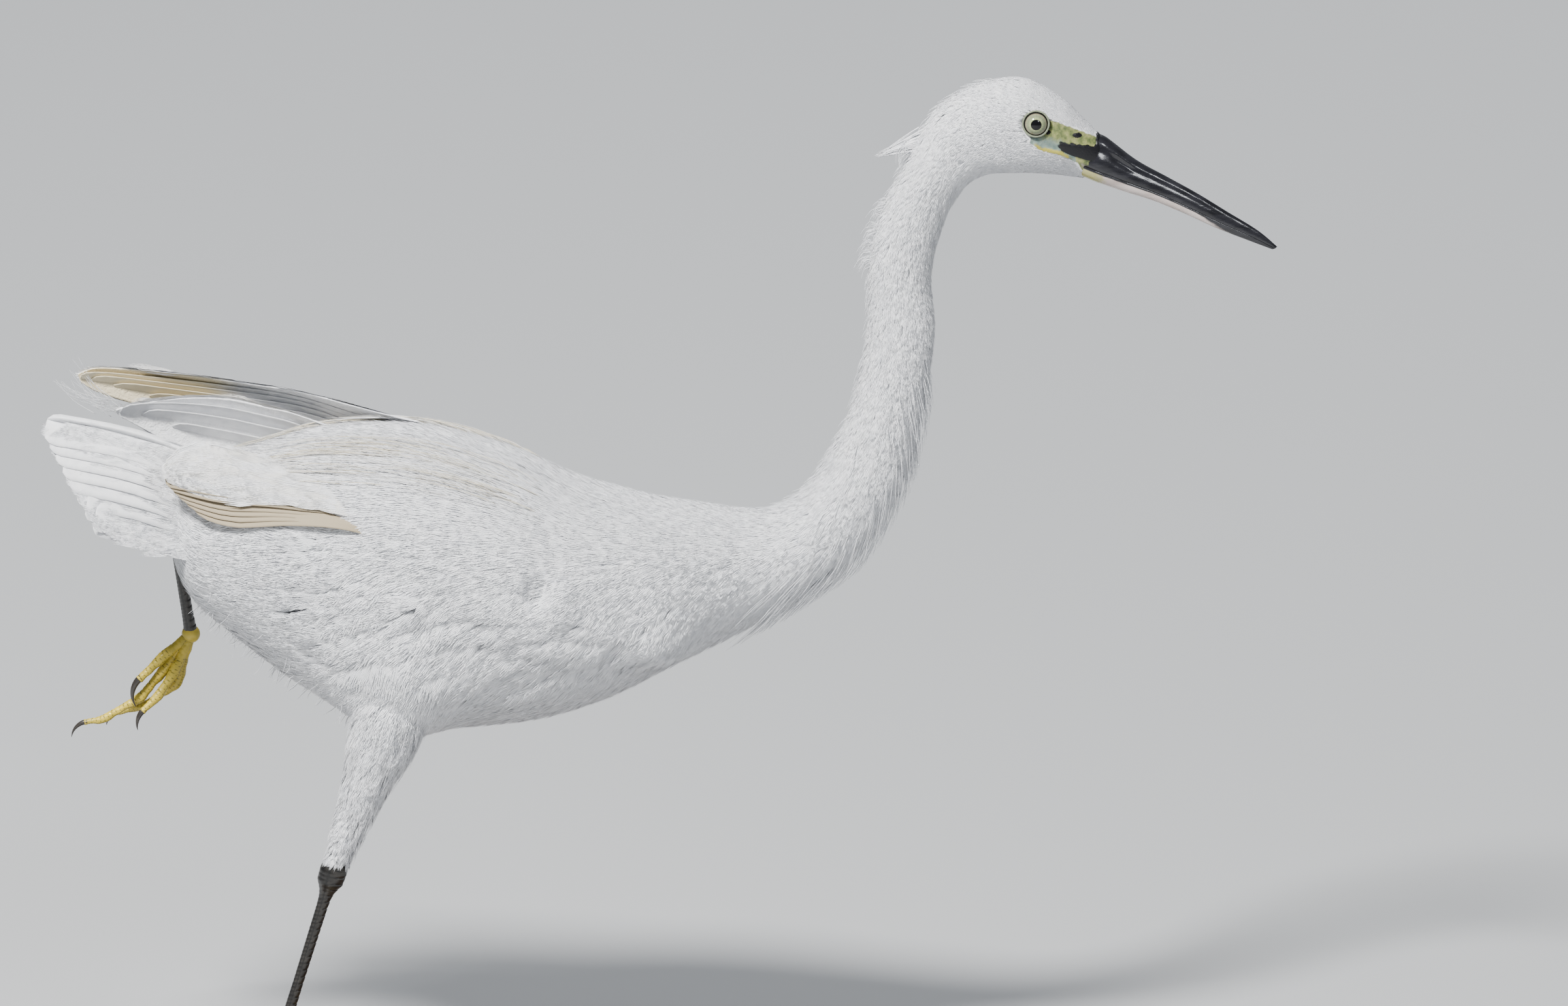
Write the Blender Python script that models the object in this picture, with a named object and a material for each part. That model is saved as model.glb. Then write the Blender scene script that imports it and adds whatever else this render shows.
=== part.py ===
"""Little egret, a still life-size model on a flat base.

+X is forward, +Z is up and -Y is the bird's right side. The origin is the middle of the base's
underside. Sizes below are in millimetres and MM turns them into metres.
"""
import math
from collections import namedtuple

import bmesh
import bpy
from mathutils import Matrix, Vector

MM = 0.001
GAP = 0.3

# Display base
BASE_LENGTH = 290.0
BASE_WIDTH = 170.0
BASE_HEIGHT = 18.0
BASE_CORNER = 30.0
BASE_EDGE = 3.0

# The trunk, neck and head are one loft. Each station is a section through a point of the back
# outline and the point of the front outline across from it, with its half width.
Station = namedtuple("Station", "back_x back_z front_x front_z half_width")
BODY = [
    Station(-117.0, 274.0, -121.0, 252.0, 10.0),
    Station(-102.0, 281.0, -113.0, 226.0, 22.0),
    Station(-80.0, 289.0, -91.0, 205.0, 32.0),
    Station(-50.0, 293.0, -56.0, 180.0, 40.0),
    Station(-15.0, 292.0, -14.0, 169.0, 45.0),
    Station(20.0, 282.5, 26.0, 169.5, 46.0),
    Station(50.0, 270.0, 60.0, 179.0, 43.0),
    Station(78.0, 264.5, 91.0, 194.5, 36.0),
    Station(104.0, 262.0, 117.0, 207.5, 28.5),
    Station(127.0, 260.5, 141.0, 221.0, 22.0),
    Station(143.0, 269.0, 166.0, 239.0, 18.0),
    Station(155.5, 287.5, 184.4, 269.4, 15.2),
    Station(164.5, 309.0, 193.5, 303.5, 13.5),
    Station(170.0, 339.0, 198.5, 336.0, 12.6),
    Station(170.5, 362.0, 197.0, 360.0, 12.0),
    Station(173.0, 382.0, 200.0, 377.0, 12.0),
    Station(181.0, 401.0, 205.0, 390.5, 12.0),
    Station(189.5, 418.0, 212.0, 400.5, 12.4),
    Station(198.0, 433.0, 220.5, 405.0, 13.2),
    Station(214.0, 443.5, 229.0, 405.5, 14.0),
    Station(234.0, 447.0, 238.0, 405.5, 14.0),
    Station(250.0, 439.0, 248.5, 404.8, 12.2),
    Station(260.5, 429.0, 257.5, 403.6, 9.2),
    Station(267.0, 422.5, 263.5, 402.8, 7.0),
]
TRUNK_START = 0.0
NECK_START = 9.0
NECK_SECOND = 11.5
NECK_THIRD = 14.0
HEAD_START = 17.2
HEAD_END = 23.0
BACK_BREADTH = 0.10

# Bill, from the feathering to the tip: the ridge, the line between the mandibles and the keel
BillStation = namedtuple("BillStation", "ridge_x ridge_z mouth_x mouth_z keel_x keel_z half_width")
BILL = [
    BillStation(267.0, 422.5, 264.6, 408.6, 263.5, 402.8, 6.8),
    BillStation(281.6, 411.3, 277.8, 403.2, 275.6, 398.4, 5.0),
    BillStation(294.6, 403.9, 291.0, 397.8, 288.4, 394.2, 3.9),
    BillStation(307.1, 396.8, 303.8, 391.6, 301.2, 388.7, 3.1),
    BillStation(319.6, 388.9, 316.6, 385.0, 314.2, 382.5, 2.4),
    BillStation(332.1, 381.0, 329.9, 378.6, 328.0, 376.9, 1.5),
    BillStation(340.2, 374.0, 339.4, 373.3, 338.2, 372.9, 0.4),
]
NOSTRIL_START = Vector((273.0, 4.7, 413.2))
NOSTRIL_END = Vector((281.5, 3.9, 408.0))
NOSTRIL_RADIUS = 0.75

# Eyes
EYE_X = 239.8
EYE_Z = 430.4
EYE_Y = 9.0
EYE_RADIUS = 6.4
LID_RADIUS = 5.5
LID_THICKNESS = 0.9
LID_Y = 13.0
MOUTH_LINE = [(22.75, 118.0), (22.0, 113.0), (21.2, 108.0), (20.5, 104.0), (19.9, 101.0)]

# Legs
HEEL_RADIUS = 5.2
BARE_TIBIA = {"right": 6.8, "left": 17.0}
BARE_RADIUS = 4.4
TARSUS_LENGTH = 88.0
TARSUS_RADIUS = 2.3
TARSUS_LEAN = math.radians(17.0)
TARSUS_AXIS = {"right": Vector((math.sin(TARSUS_LEAN), 0.0, math.cos(TARSUS_LEAN))),
               "left": Vector((-12.0, -18.0, 83.4)).normalized()}
HEEL_RIGHT = Vector((-52.0, -22.0, 110.0))
ANKLE_LEFT = Vector((-112.0, 47.0, 193.0))
HEEL = {"right": HEEL_RIGHT, "left": ANKLE_LEFT + TARSUS_AXIS["left"] * TARSUS_LENGTH}
ANKLE = {"right": HEEL_RIGHT - TARSUS_AXIS["right"] * TARSUS_LENGTH, "left": ANKLE_LEFT}
THIGH_TOP = {"right": Vector((-20.0, -26.0, 196.0)), "left": Vector((-12.0, 30.0, 218.0))}
THIGH_RADII = {"right": [16.0, 15.5, 12.5, 9.5, 7.0, 5.2],
               "left": [17.0, 16.0, 14.0, 11.0, 8.0, 5.4]}
TOE_RADIUS = 2.2
FOOT_RADIUS = 4.0
ANKLE_REACH = 5.0

FEATHER = (0.83, 0.84, 0.86)
BILL_BLACK = (0.02, 0.02, 0.025)
LEG_BLACK = (0.03, 0.028, 0.025)
FOOT_YELLOW = (0.60, 0.47, 0.05)


def material(name, colour, roughness, metallic=0.0):
    made = bpy.data.materials.new(name)
    made.use_nodes = True
    shader = made.node_tree.nodes["Principled BSDF"]
    shader.inputs["Base Color"].default_value = (*colour, 1.0)
    shader.inputs["Roughness"].default_value = roughness
    shader.inputs["Metallic"].default_value = metallic
    return made


def add_object(name, mesh, finish=None):
    piece = bpy.data.objects.new(name, mesh)
    if finish:
        mesh.materials.append(finish)
    bpy.context.scene.collection.objects.link(piece)
    return piece


def loft(name, rings, finish=None, closed=False):
    """A closed body through rings of points in millimetres. A ring of one point is a tip.

    The two halves of a ring are split into triangles alike, so that a thin vane's faces match.
    """
    shape = bmesh.new()
    rows = [[shape.verts.new(Vector(point) * MM) for point in ring] for ring in rings]
    pairs = list(zip(rows, rows[1:]))
    if closed:
        pairs.append((rows[-1], rows[0]))
    for row, following in pairs:
        count = max(len(row), len(following))
        for i in range(count):
            a = row[i % len(row)]
            b = row[(i + 1) % len(row)]
            c = following[(i + 1) % len(following)]
            d = following[i % len(following)]
            corners = ((a, b, c), (a, c, d)) if 2 * i < count else ((a, b, d), (b, c, d))
            for triangle in corners:
                if len(set(triangle)) == 3:
                    shape.faces.new(triangle)
    if not closed:
        for row in (rows[0], rows[-1]):
            if len(row) > 2:
                shape.faces.new(row)
    bmesh.ops.recalc_face_normals(shape, faces=shape.faces)
    bmesh.ops.triangulate(shape, faces=shape.faces)
    mesh = bpy.data.meshes.new(name)
    shape.to_mesh(mesh)
    shape.free()
    mesh.shade_smooth()
    return add_object(name, mesh, finish)


def keep_largest(piece):
    """Leave only the largest closed surface of a piece."""
    shape = bmesh.new()
    shape.from_mesh(piece.data)
    unseen = set(shape.faces)
    islands = []
    while unseen:
        island = [unseen.pop()]
        for face in island:
            for edge in face.edges:
                for neighbour in edge.link_faces:
                    if neighbour in unseen:
                        unseen.remove(neighbour)
                        island.append(neighbour)
        islands.append(island)
    islands.sort(key=lambda island: sum(face.calc_area() for face in island))
    for island in islands[:-1]:
        bmesh.ops.delete(shape, geom=island, context="FACES")
    shape.to_mesh(piece.data)
    shape.free()


def combine(piece, helpers, operation, solver="EXACT"):
    """Join helpers to a piece or cut them from it, then remove them."""
    group = bpy.data.collections.new(piece.name + "_helpers")
    bpy.context.scene.collection.children.link(group)
    for helper in helpers:
        bpy.context.scene.collection.objects.unlink(helper)
        group.objects.link(helper)
    change = piece.modifiers.new("combine", "BOOLEAN")
    change.operation = operation
    change.operand_type = "COLLECTION"
    change.collection = group
    change.solver = solver
    bpy.context.view_layer.update()
    evaluated = piece.evaluated_get(bpy.context.evaluated_depsgraph_get())
    mesh = bpy.data.meshes.new_from_object(evaluated)
    piece.modifiers.clear()
    piece.data = mesh
    for helper in helpers:
        bpy.data.objects.remove(helper)
    bpy.data.collections.remove(group)
    keep_largest(piece)
    return piece


def smooth_between(values, place):
    """Catmull-Rom curve through values, read at a place counted in stations."""
    last = len(values) - 1
    index = min(int(max(place, 0.0)), last - 1)
    t = place - index
    before, start, end, after = (values[min(max(index + k, 0), last)] for k in (-1, 0, 1, 2))
    return 0.5 * (2.0 * start + (end - before) * t
                  + (2.0 * before - 5.0 * start + 4.0 * end - after) * t * t
                  + (3.0 * start - before - 3.0 * end + after) * t * t * t)


def body_section(place):
    """The centre, the direction to the back, the half depth and half width of a section."""
    back = Vector((smooth_between([s.back_x for s in BODY], place), 0.0,
                   smooth_between([s.back_z for s in BODY], place)))
    front = Vector((smooth_between([s.front_x for s in BODY], place), 0.0,
                    smooth_between([s.front_z for s in BODY], place)))
    half_width = smooth_between([s.half_width for s in BODY], place)
    span = back - front
    return (back + front) / 2.0, span.normalized(), span.length / 2.0, half_width


def body_point(place, angle, lift=0.0):
    """A point of the body's surface. Angle 0 is the back and +90 degrees the left side."""
    centre, rise, half_depth, half_width = body_section(place)
    breadth = (half_width + lift) * (1.0 + BACK_BREADTH * math.cos(angle))
    return (centre + rise * (half_depth + lift) * math.cos(angle)
            + Vector((0.0, breadth * math.sin(angle), 0.0)))


def body_normal(place, angle):
    """The direction out of the body's surface, square to its section's rim."""
    _, rise, half_depth, half_width = body_section(place)
    return (rise * math.cos(angle) / half_depth
            + Vector((0.0, math.sin(angle) / half_width, 0.0))).normalized()


def body_ring(place, sides, lift=0.0, shift=0.0):
    """A ring of the body, moved along the spine by shift so that two pieces keep their gap."""
    _, rise, _, _ = body_section(place)
    along = Vector((0.0, 1.0, 0.0)).cross(rise)
    return [body_point(place, 2.0 * math.pi * i / sides, lift) + along * shift
            for i in range(sides)]


def body_piece(name, start, end, sides, rings, finish, lift=0.0):
    """A length of the body between two stations, short of each by half a gap."""
    places = [start + (end - start) * i / rings for i in range(rings + 1)]
    shifts = [GAP / 2.0] + [0.0] * (rings - 1) + [-GAP / 2.0]
    return loft(name, [body_ring(place, sides, lift, shift)
                       for place, shift in zip(places, shifts)], finish)


TRUNK_SIDES = 24
TRUNK_RINGS = 20


def trunk_cutter():
    """The trunk grown by the gap, to cut from what lies on it."""
    return body_piece("trunk_cutter", TRUNK_START, NECK_START, TRUNK_SIDES, TRUNK_RINGS, None, GAP)


def tube(name, path, radii, sides, finish=None, flatness=1.0):
    """A round body along a path, with a radius at each point. A radius of 0 is a tip."""
    rings = []
    across = None
    for i, point in enumerate(path):
        ahead = path[min(i + 1, len(path) - 1)]
        behind = path[max(i - 1, 0)]
        along = (ahead - behind).normalized()
        if across is None:
            across = along.cross(Vector((0.0, 0.0, 1.0)))
            if across.length < 0.1:
                across = along.cross(Vector((1.0, 0.0, 0.0)))
        across = (across - along * across.dot(along)).normalized()
        other = along.cross(across)
        if radii[i] == 0.0:
            rings.append([point])
            continue
        rings.append([point + across * radii[i] * math.cos(2.0 * math.pi * k / sides)
                      + other * radii[i] * flatness * math.sin(2.0 * math.pi * k / sides)
                      for k in range(sides)])
    return loft(name, rings, finish)


def ball(name, centre, radius, segments, rings, finish=None):
    mesh = bpy.data.meshes.new(name)
    shape = bmesh.new()
    bmesh.ops.create_uvsphere(shape, u_segments=segments, v_segments=rings, radius=radius * MM)
    bmesh.ops.rotate(shape, verts=shape.verts, cent=(0, 0, 0),
                     matrix=Matrix.Rotation(math.radians(90.0), 3, "X"))
    bmesh.ops.translate(shape, verts=shape.verts, vec=Vector(centre) * MM)
    bmesh.ops.triangulate(shape, faces=shape.faces)
    shape.to_mesh(mesh)
    shape.free()
    mesh.shade_smooth()
    return add_object(name, mesh, finish)


# Wings. Angles are degrees round the trunk from the back, at stations 0 to 8.
WING_REAR = 2.2
WING_FRONT = 7.8
WING_UPPER = [0.0, 0.0, 8.0, 4.0, 3.0, 4.0, 8.0, 24.0, 66.0]
WING_LOWER = [50.0, 40.0, 42.0, 54.0, 80.0, 103.0, 120.0, 136.0, 120.0]
WING_DEPTH = 5.0
WING_RIM = 1.3
WING_RINGS = 14
WING_STEPS = 8
SIDES = {"right": -1.0, "left": 1.0}
WING_TIP = {"right": Vector((-123.6, 24.0, 285.0)), "left": Vector((-155.0, 26.0, 312.0))}
WING_HINGE = {"right": Vector((-30.0, 35.0, 270.0)), "left": Vector((-30.0, 33.0, 278.0))}
WING_RAISE = {"right": 0.0, "left": 5.3}
WING_FACING = Vector((0.0, 0.75, 0.66))
VANE_HALF_THICKNESS = 0.5
# Parts of the way along a vane, with the part of its width there
VANE_SHAPE = [(0.0, 0.7), (0.4, 1.0), (0.75, 1.0), (0.93, 0.76), (1.0, 0.3)]

# Flight feathers of a folded wing, in tiers from the body outwards. Roots and tips run from the
# first feather to the last, tips as parts of the way from the hinge to the wing's tip with a
# drop down the wing's face.
FlightTier = namedtuple("FlightTier", "count reach drop root root_drop half_width layer")
FLIGHT_TIERS = [
    FlightTier(3, (1.0, 0.84), (1.0, 6.5), (0.0, -0.10), (3.0, 8.0), 4.9, -1.4),
    FlightTier(5, (0.90, 0.28), (5.5, 12.0), (-0.10, -0.50), (4.0, 15.0), 5.8, 0.3),
    FlightTier(4, (0.98, 0.62), (-1.0, -7.0), (-0.05, -0.25), (0.0, -5.0), 6.2, 2.2),
]
FLIGHT_REACH = 95.0
FLIGHT_TILT = math.radians(-11.0)

# Coverts lie on the wing's plate in rows, each from a root to a tip counted along the plate from
# the rear, and spread evenly between two places across it.
CovertRow = namedtuple("CovertRow", "count root tip across half_width rise")
COVERT_ROWS = [
    CovertRow(5, 0.50, 0.16, (0.16, 0.94), 8.4, 0.35),
]
SCAPULARS = CovertRow(4, 0.74, 0.06, (0.06, 0.34), 4.6, 1.5)
COVERT_TILT = math.radians(-9.0)
COVERT_ROOT_SINK = 1.4

# Tail, from its middle pair to its outer one, folded like a roof
TAIL_PAIRS = 6
TAIL_ROOT = (Vector((-94.0, 1.5, 273.0)), Vector((-97.0, 11.0, 246.0)))
TAIL_TIP = (Vector((-174.0, 3.0, 298.5)), Vector((-149.0, 25.0, 265.0)))
TAIL_BOW = 8.0
TAIL_HALF_WIDTH = 7.0
TAIL_LAYER = 1.2
TAIL_LEAN = (math.radians(16.0), math.radians(52.0))
UNDERTAIL = [
    (Vector((-100.0, 0.0, 236.0)), Vector((-138.0, 0.0, 262.0)), 12.0),
    (Vector((-100.0, 13.0, 243.0)), Vector((-131.0, 19.0, 257.0)), 9.0),
    (Vector((-100.0, -13.0, 243.0)), Vector((-131.0, -19.0, 257.0)), 9.0),
]
# Skin of the rump that carries the tail: body station and height over the trunk
RUMP_RINGS = [(1.1, 0.9), (0.7, 2.2), (0.35, 3.0), (0.03, 3.2)]
RUMP_SIDES = 12
RUMP_END = Vector((-129.0, 0.0, 268.0))
RUMP_END_RADIUS = 6.0

# Plumes of the breast: station and angle of the root, and length along the body
BREAST_PLUMES = 7
BREAST_ROOT = 8.75
BREAST_TIP = 7.3
BREAST_SPREAD = math.radians(78.0)

# Crest: root, middle and tip of each plume, with its half width
CREST = [
    ((201.0, 1.2, 428.5), (186.0, 1.6, 423.0), (174.3, 1.8, 413.0), 1.9),
    ((201.0, -1.8, 427.5), (188.5, -2.2, 423.0), (180.0, -2.6, 413.5), 1.7),
    ((202.0, 2.8, 427.0), (191.2, 3.6, 425.0), (185.0, 4.2, 416.8), 1.7),
]


def mirrored(point, side):
    return Vector((point[0], point[1] * side, point[2]))


def blade(name, path, half_widths, half_thickness, facings, finish=None, camber=0.0):
    """A flat tapered body along a path, thickest in its middle. A half width of 0 is a tip."""
    profile = [(1.0, 0.0), (0.45, 1.0), (-0.45, 1.0), (-1.0, 0.0), (-0.45, -1.0), (0.45, -1.0)]
    rings = []
    for i, point in enumerate(path):
        along = (path[min(i + 1, len(path) - 1)] - path[max(i - 1, 0)]).normalized()
        facing = facings[i] if isinstance(facings, list) else facings
        across = along.cross(facing).normalized()
        rise = across.cross(along)
        if half_widths[i] == 0.0:
            rings.append([point])
            continue
        rings.append([point + across * half_widths[i] * u
                      + rise * (half_thickness * v - camber * half_widths[i] * u * u)
                      for u, v in profile])
    return loft(name, rings, finish)


def curve_path(points, count):
    """Points read evenly from a smooth curve through a few given ones."""
    places = [(len(points) - 1) * i / (count - 1) for i in range(count)]
    return [smooth_between(points, place) for place in places]


def turned(facing, path, angle):
    """A facing leaned round a path, so that each vane's edge lies over the next one."""
    along = (path[-1] - path[0]).normalized()
    return Matrix.Rotation(angle, 3, along) @ facing


def between(pair, part):
    return pair[0] + (pair[1] - pair[0]) * part


def wing_angle(u, v):
    """Station and angle of a place on the wing: u from rear to front, v from upper edge down."""
    place = WING_REAR + (WING_FRONT - WING_REAR) * u
    upper = math.radians(smooth_between(WING_UPPER, place))
    lower = math.radians(smooth_between(WING_LOWER, place))
    return place, upper + (lower - upper) * v


def wing_lift(side, u, v):
    """Height of the wing's plate over the trunk. The left wing's upper edge is held higher."""
    raised = WING_RAISE["left" if side > 0.0 else "right"]
    raised *= (1.0 - v) * math.sin(math.pi * min(max(u, 0.0), 1.0)) ** 2
    swell = max(math.sin(math.pi * min(max(u, 0.0), 1.0)), 0.0) ** 0.5
    dome = max(math.sin(math.pi * v), 0.0) ** 0.6
    return WING_RIM + raised + (WING_DEPTH - WING_RIM) * swell * dome


def wing_point(side, u, v, above):
    place, angle = wing_angle(u, v)
    return body_point(place, side * angle, wing_lift(side, u, v) + above)


def wing_plate(name, side, finish):
    """The wing folded on the trunk, sunk into it until the trunk is cut away."""
    rings = []
    for i in range(WING_RINGS + 1):
        u = i / WING_RINGS
        steps = [k / WING_STEPS for k in range(WING_STEPS + 1)]
        outer = [wing_point(side, u, v, 0.0) for v in steps]
        inner = [body_point(wing_angle(u, v)[0], side * wing_angle(u, v)[1], -3.0)
                 for v in reversed(steps)]
        rings.append(outer + inner)
    return loft(name, rings, finish)


def flight_vanes(side, word):
    """Primaries, secondaries and tertials as overlapping tapered vanes."""
    hinge = mirrored(WING_HINGE[word], side)
    tip = mirrored(WING_TIP[word], side)
    facing = mirrored(WING_FACING, side)
    reach_line = tip - hinge
    broader = (reach_line.length / FLIGHT_REACH) ** 0.6
    down = reach_line.normalized().cross(facing) * side
    if down.z > 0.0:
        down = -down
    vanes = []
    for tier in FLIGHT_TIERS:
        for i in range(tier.count):
            order = i / (tier.count - 1)
            end = (hinge + reach_line * between(tier.reach, order)
                   + down * between(tier.drop, order))
            root = (hinge + reach_line * between(tier.root, order)
                    + down * between(tier.root_drop, order))
            middle = (root + end) / 2.0 + facing * 2.0
            path = [smooth_between([root, middle, end], 2.0 * part) + facing * tier.layer
                    for part, _ in VANE_SHAPE]
            path[0] = path[0] - facing * 3.0
            leaned = turned(facing, path, FLIGHT_TILT * side)
            widths = [tier.half_width * broader * width for _, width in VANE_SHAPE]
            vanes.append(blade("flight", path, widths, VANE_HALF_THICKNESS, leaned, None, 0.05))
    return vanes


def covert_vanes(side, row):
    """One row of coverts, from roots sunk in the plate to tips just clear of it."""
    vanes = []
    for i in range(row.count):
        v = between(row.across, (i + 0.5) / row.count)
        places = [row.root + (row.tip - row.root) * part for part, _ in VANE_SHAPE]
        heights = [row.rise * part - COVERT_ROOT_SINK * (1.0 - part) ** 3
                   for part, _ in VANE_SHAPE]
        path = [wing_point(side, u, v, above) for u, above in zip(places, heights)]
        facings = [body_normal(wing_angle(u, v)[0], side * wing_angle(u, v)[1]) for u in places]
        facings = [turned(facing, path, COVERT_TILT * side) for facing in facings]
        widths = [row.half_width * width for _, width in VANE_SHAPE]
        vanes.append(blade("covert", path, widths, VANE_HALF_THICKNESS, facings, None, 0.05))
    return vanes


def make_wing(word, finish):
    side = SIDES[word]
    wing = wing_plate("wing_" + word, side, finish)
    vanes = flight_vanes(side, word)
    for row in COVERT_ROWS + [SCAPULARS]:
        vanes += covert_vanes(side, row)
    combine(wing, vanes, "UNION", "MANIFOLD")
    return combine(wing, [trunk_cutter(), thigh_body("thigh_cutter", word, GAP)], "DIFFERENCE",
                   "MANIFOLD")


def tail_vanes(side):
    """Six tail feathers of one side, each under the one nearer the middle."""
    vanes = []
    for i in range(TAIL_PAIRS):
        order = i / (TAIL_PAIRS - 1)
        root = between(TAIL_ROOT, order)
        end = between(TAIL_TIP, order ** 1.15)
        lean = between(TAIL_LEAN, order)
        facing = Vector((0.3, math.sin(lean), math.cos(lean))).normalized()
        middle = (root + end) / 2.0
        bow = Vector((0.0, 0.25, 0.2)) * TAIL_BOW * math.sin(math.pi * order)
        path = [mirrored(smooth_between([root, middle + bow, end + bow * 0.6], 2.0 * part)
                         - facing * TAIL_LAYER * i, side) for part, _ in VANE_SHAPE]
        widths = [TAIL_HALF_WIDTH * width for _, width in VANE_SHAPE]
        vanes.append(blade("rectrix", path, widths, VANE_HALF_THICKNESS,
                           mirrored(facing, side), None, 0.04))
    return vanes


def make_tail(finish):
    """Twelve tail feathers round the rump, with the coverts below them."""
    vanes = tail_vanes(SIDES["right"]) + tail_vanes(SIDES["left"])
    for root, end, half_width in UNDERTAIL:
        sagging = (root + end) / 2.0 + Vector((0.0, 0.0, -3.0))
        path = [smooth_between([root, sagging, end], 2.0 * part) for part, _ in VANE_SHAPE]
        vanes.append(blade("undertail", path, [half_width * width for _, width in VANE_SHAPE],
                           3.0, Vector((0.5, root.y * 0.05, -1.0)).normalized()))
    rings = [body_ring(place, RUMP_SIDES, lift) for place, lift in RUMP_RINGS]
    turns = [2.0 * math.pi * i / RUMP_SIDES for i in range(RUMP_SIDES)]
    rings.append([RUMP_END + Vector((0.0, math.sin(turn), math.cos(turn))) * RUMP_END_RADIUS
                  for turn in turns])
    rump = loft("tail", rings, finish)
    combine(rump, vanes, "UNION")
    return combine(rump, [trunk_cutter()], "DIFFERENCE")


def breast_plumes():
    """Long pointed plumes hanging back from the root of the neck over the breast."""
    plumes = []
    for i in range(BREAST_PLUMES):
        part = i / (BREAST_PLUMES - 1)
        angle = math.pi + BREAST_SPREAD * (2.0 * part - 1.0)
        reach = BREAST_TIP + 0.35 * (i % 2) + 0.5 * abs(2.0 * part - 1.0)
        places = [BREAST_ROOT + (reach - BREAST_ROOT) * k for k in (0.0, 0.4, 0.75, 1.0)]
        path = [body_point(place, angle, lift)
                for place, lift in zip(places, (-1.5, 1.0, 1.6, 2.2 + 0.5 * (i % 2)))]
        facings = [body_normal(place, angle) for place in places]
        plumes.append(blade("plume", path, [3.6, 4.2, 2.6, 0.0], 0.6, facings))
    return plumes


def make_torso(finish):
    torso = body_piece("torso", TRUNK_START, NECK_START, TRUNK_SIDES, TRUNK_RINGS, finish)
    return combine(torso, breast_plumes(), "UNION")


def make_neck_upper(finish):
    """The upper neck with the short ruffled locks of its nape."""
    neck = body_piece("neck_upper", NECK_THIRD, HEAD_START, 22, 9, finish)
    locks = []
    for i in range(5):
        place = NECK_THIRD + 2.35 - 0.5 * i
        angle = math.radians((-14.0, 12.0, -6.0, 16.0, -12.0)[i])
        path = [body_point(place, angle, -1.0), body_point(place - 0.25, angle, 0.8),
                body_point(place - 0.42, angle, 2.0)]
        locks.append(blade("lock", path, [2.0, 1.8, 0.0], 0.5,
                           [body_normal(place, angle)] * 3))
    return combine(neck, locks, "UNION")


def make_bill(finish):
    """The two mandibles, closed, with the gap of a shut mouth between them."""
    arch = 8
    upper_rings = []
    lower_rings = []
    for s in BILL:
        ridge = Vector((s.ridge_x, 0.0, s.ridge_z))
        mouth = Vector((s.mouth_x, 0.0, s.mouth_z))
        keel = Vector((s.keel_x, 0.0, s.keel_z))
        rise = (ridge - mouth).normalized()
        top = mouth + rise * GAP / 2.0
        under = mouth - rise * GAP / 2.0
        upper_rings.append([top + Vector((0.0, s.half_width * math.cos(math.pi * i / arch), 0.0))
                            + (ridge - top) * math.sin(math.pi * i / arch) ** 1.1
                            for i in range(arch + 1)])
        lower_rings.append([under + Vector((0.0, s.half_width * math.cos(math.pi * i / arch), 0.0))
                            + (keel - under) * math.sin(math.pi * i / arch) ** 0.8
                            for i in range(arch + 1)])
    along = Vector((0.0, 1.0, 0.0)).cross(body_section(HEAD_END)[1])
    for rings in (upper_rings, lower_rings):
        rings[0] = [point + along * GAP / 2.0 for point in rings[0]]
    upper = loft("bill_upper", upper_rings, finish)
    loft("bill_lower", lower_rings, finish)
    slits = []
    for side in SIDES.values():
        start = mirrored(NOSTRIL_START, side)
        end = mirrored(NOSTRIL_END, side)
        path = [start.lerp(end, part) for part in (0.0, 0.3, 0.7, 1.0)]
        slits.append(tube("slit", path, [0.0, NOSTRIL_RADIUS, NOSTRIL_RADIUS, 0.0], 6))
    combine(upper, slits, "DIFFERENCE")


def lid_ring(side):
    """The bare rim of the lids round an eye."""
    segments = 12
    sides = 6
    rings = []
    for i in range(segments):
        turn = 2.0 * math.pi * i / segments
        out = Vector((math.cos(turn), 0.0, math.sin(turn)))
        centre = Vector((EYE_X, side * LID_Y, EYE_Z)) + out * LID_RADIUS
        rings.append([centre + out * LID_THICKNESS * math.cos(2.0 * math.pi * k / sides)
                      + Vector((0.0, LID_THICKNESS * math.sin(2.0 * math.pi * k / sides), 0.0))
                      for k in range(sides)])
    return loft("lids", rings, None, True)


def lip_line(side):
    """The raised lip from the corner of the bill back under the eye."""
    path = []
    for place, angle in MOUTH_LINE:
        path.append(body_point(place, side * math.radians(angle), -0.15))
    return tube("lip", path, [0.8, 0.9, 0.8, 0.6, 0.35], 6)


def make_head(finish):
    head = body_piece("head", HEAD_START, HEAD_END, 22, 13, finish)
    extras = [blade("crest", curve_path([Vector(p) for p in (root, middle, tip)], 4),
                    [width * 0.9, width, width * 0.7, 0.0], 0.5, Vector((0.0, 0.0, 1.0)))
              for root, middle, tip, width in CREST]
    for side in SIDES.values():
        extras += [lid_ring(side), lip_line(side)]
    combine(head, extras, "UNION")
    sockets = [ball("socket", (EYE_X, side * EYE_Y, EYE_Z), EYE_RADIUS + GAP, 16, 9)
               for side in SIDES.values()]
    return combine(head, sockets, "DIFFERENCE")


def thigh_body(name, word, lift, finish=None):
    """The feathered tibia, from inside the trunk to its bare end, grown by lift."""
    towards = (THIGH_TOP[word] - HEEL[word]).normalized()
    end = HEEL[word] + towards * BARE_TIBIA[word]
    count = len(THIGH_RADII[word])
    path = [THIGH_TOP[word].lerp(end, i / (count - 1)) for i in range(count)]
    return tube(name, path, [radius + lift for radius in THIGH_RADII[word]], 14, finish)


def make_thigh(word, finish):
    thigh = thigh_body("thigh_" + word, word, 0.0, finish)
    return combine(thigh, [trunk_cutter()], "DIFFERENCE")


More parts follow.
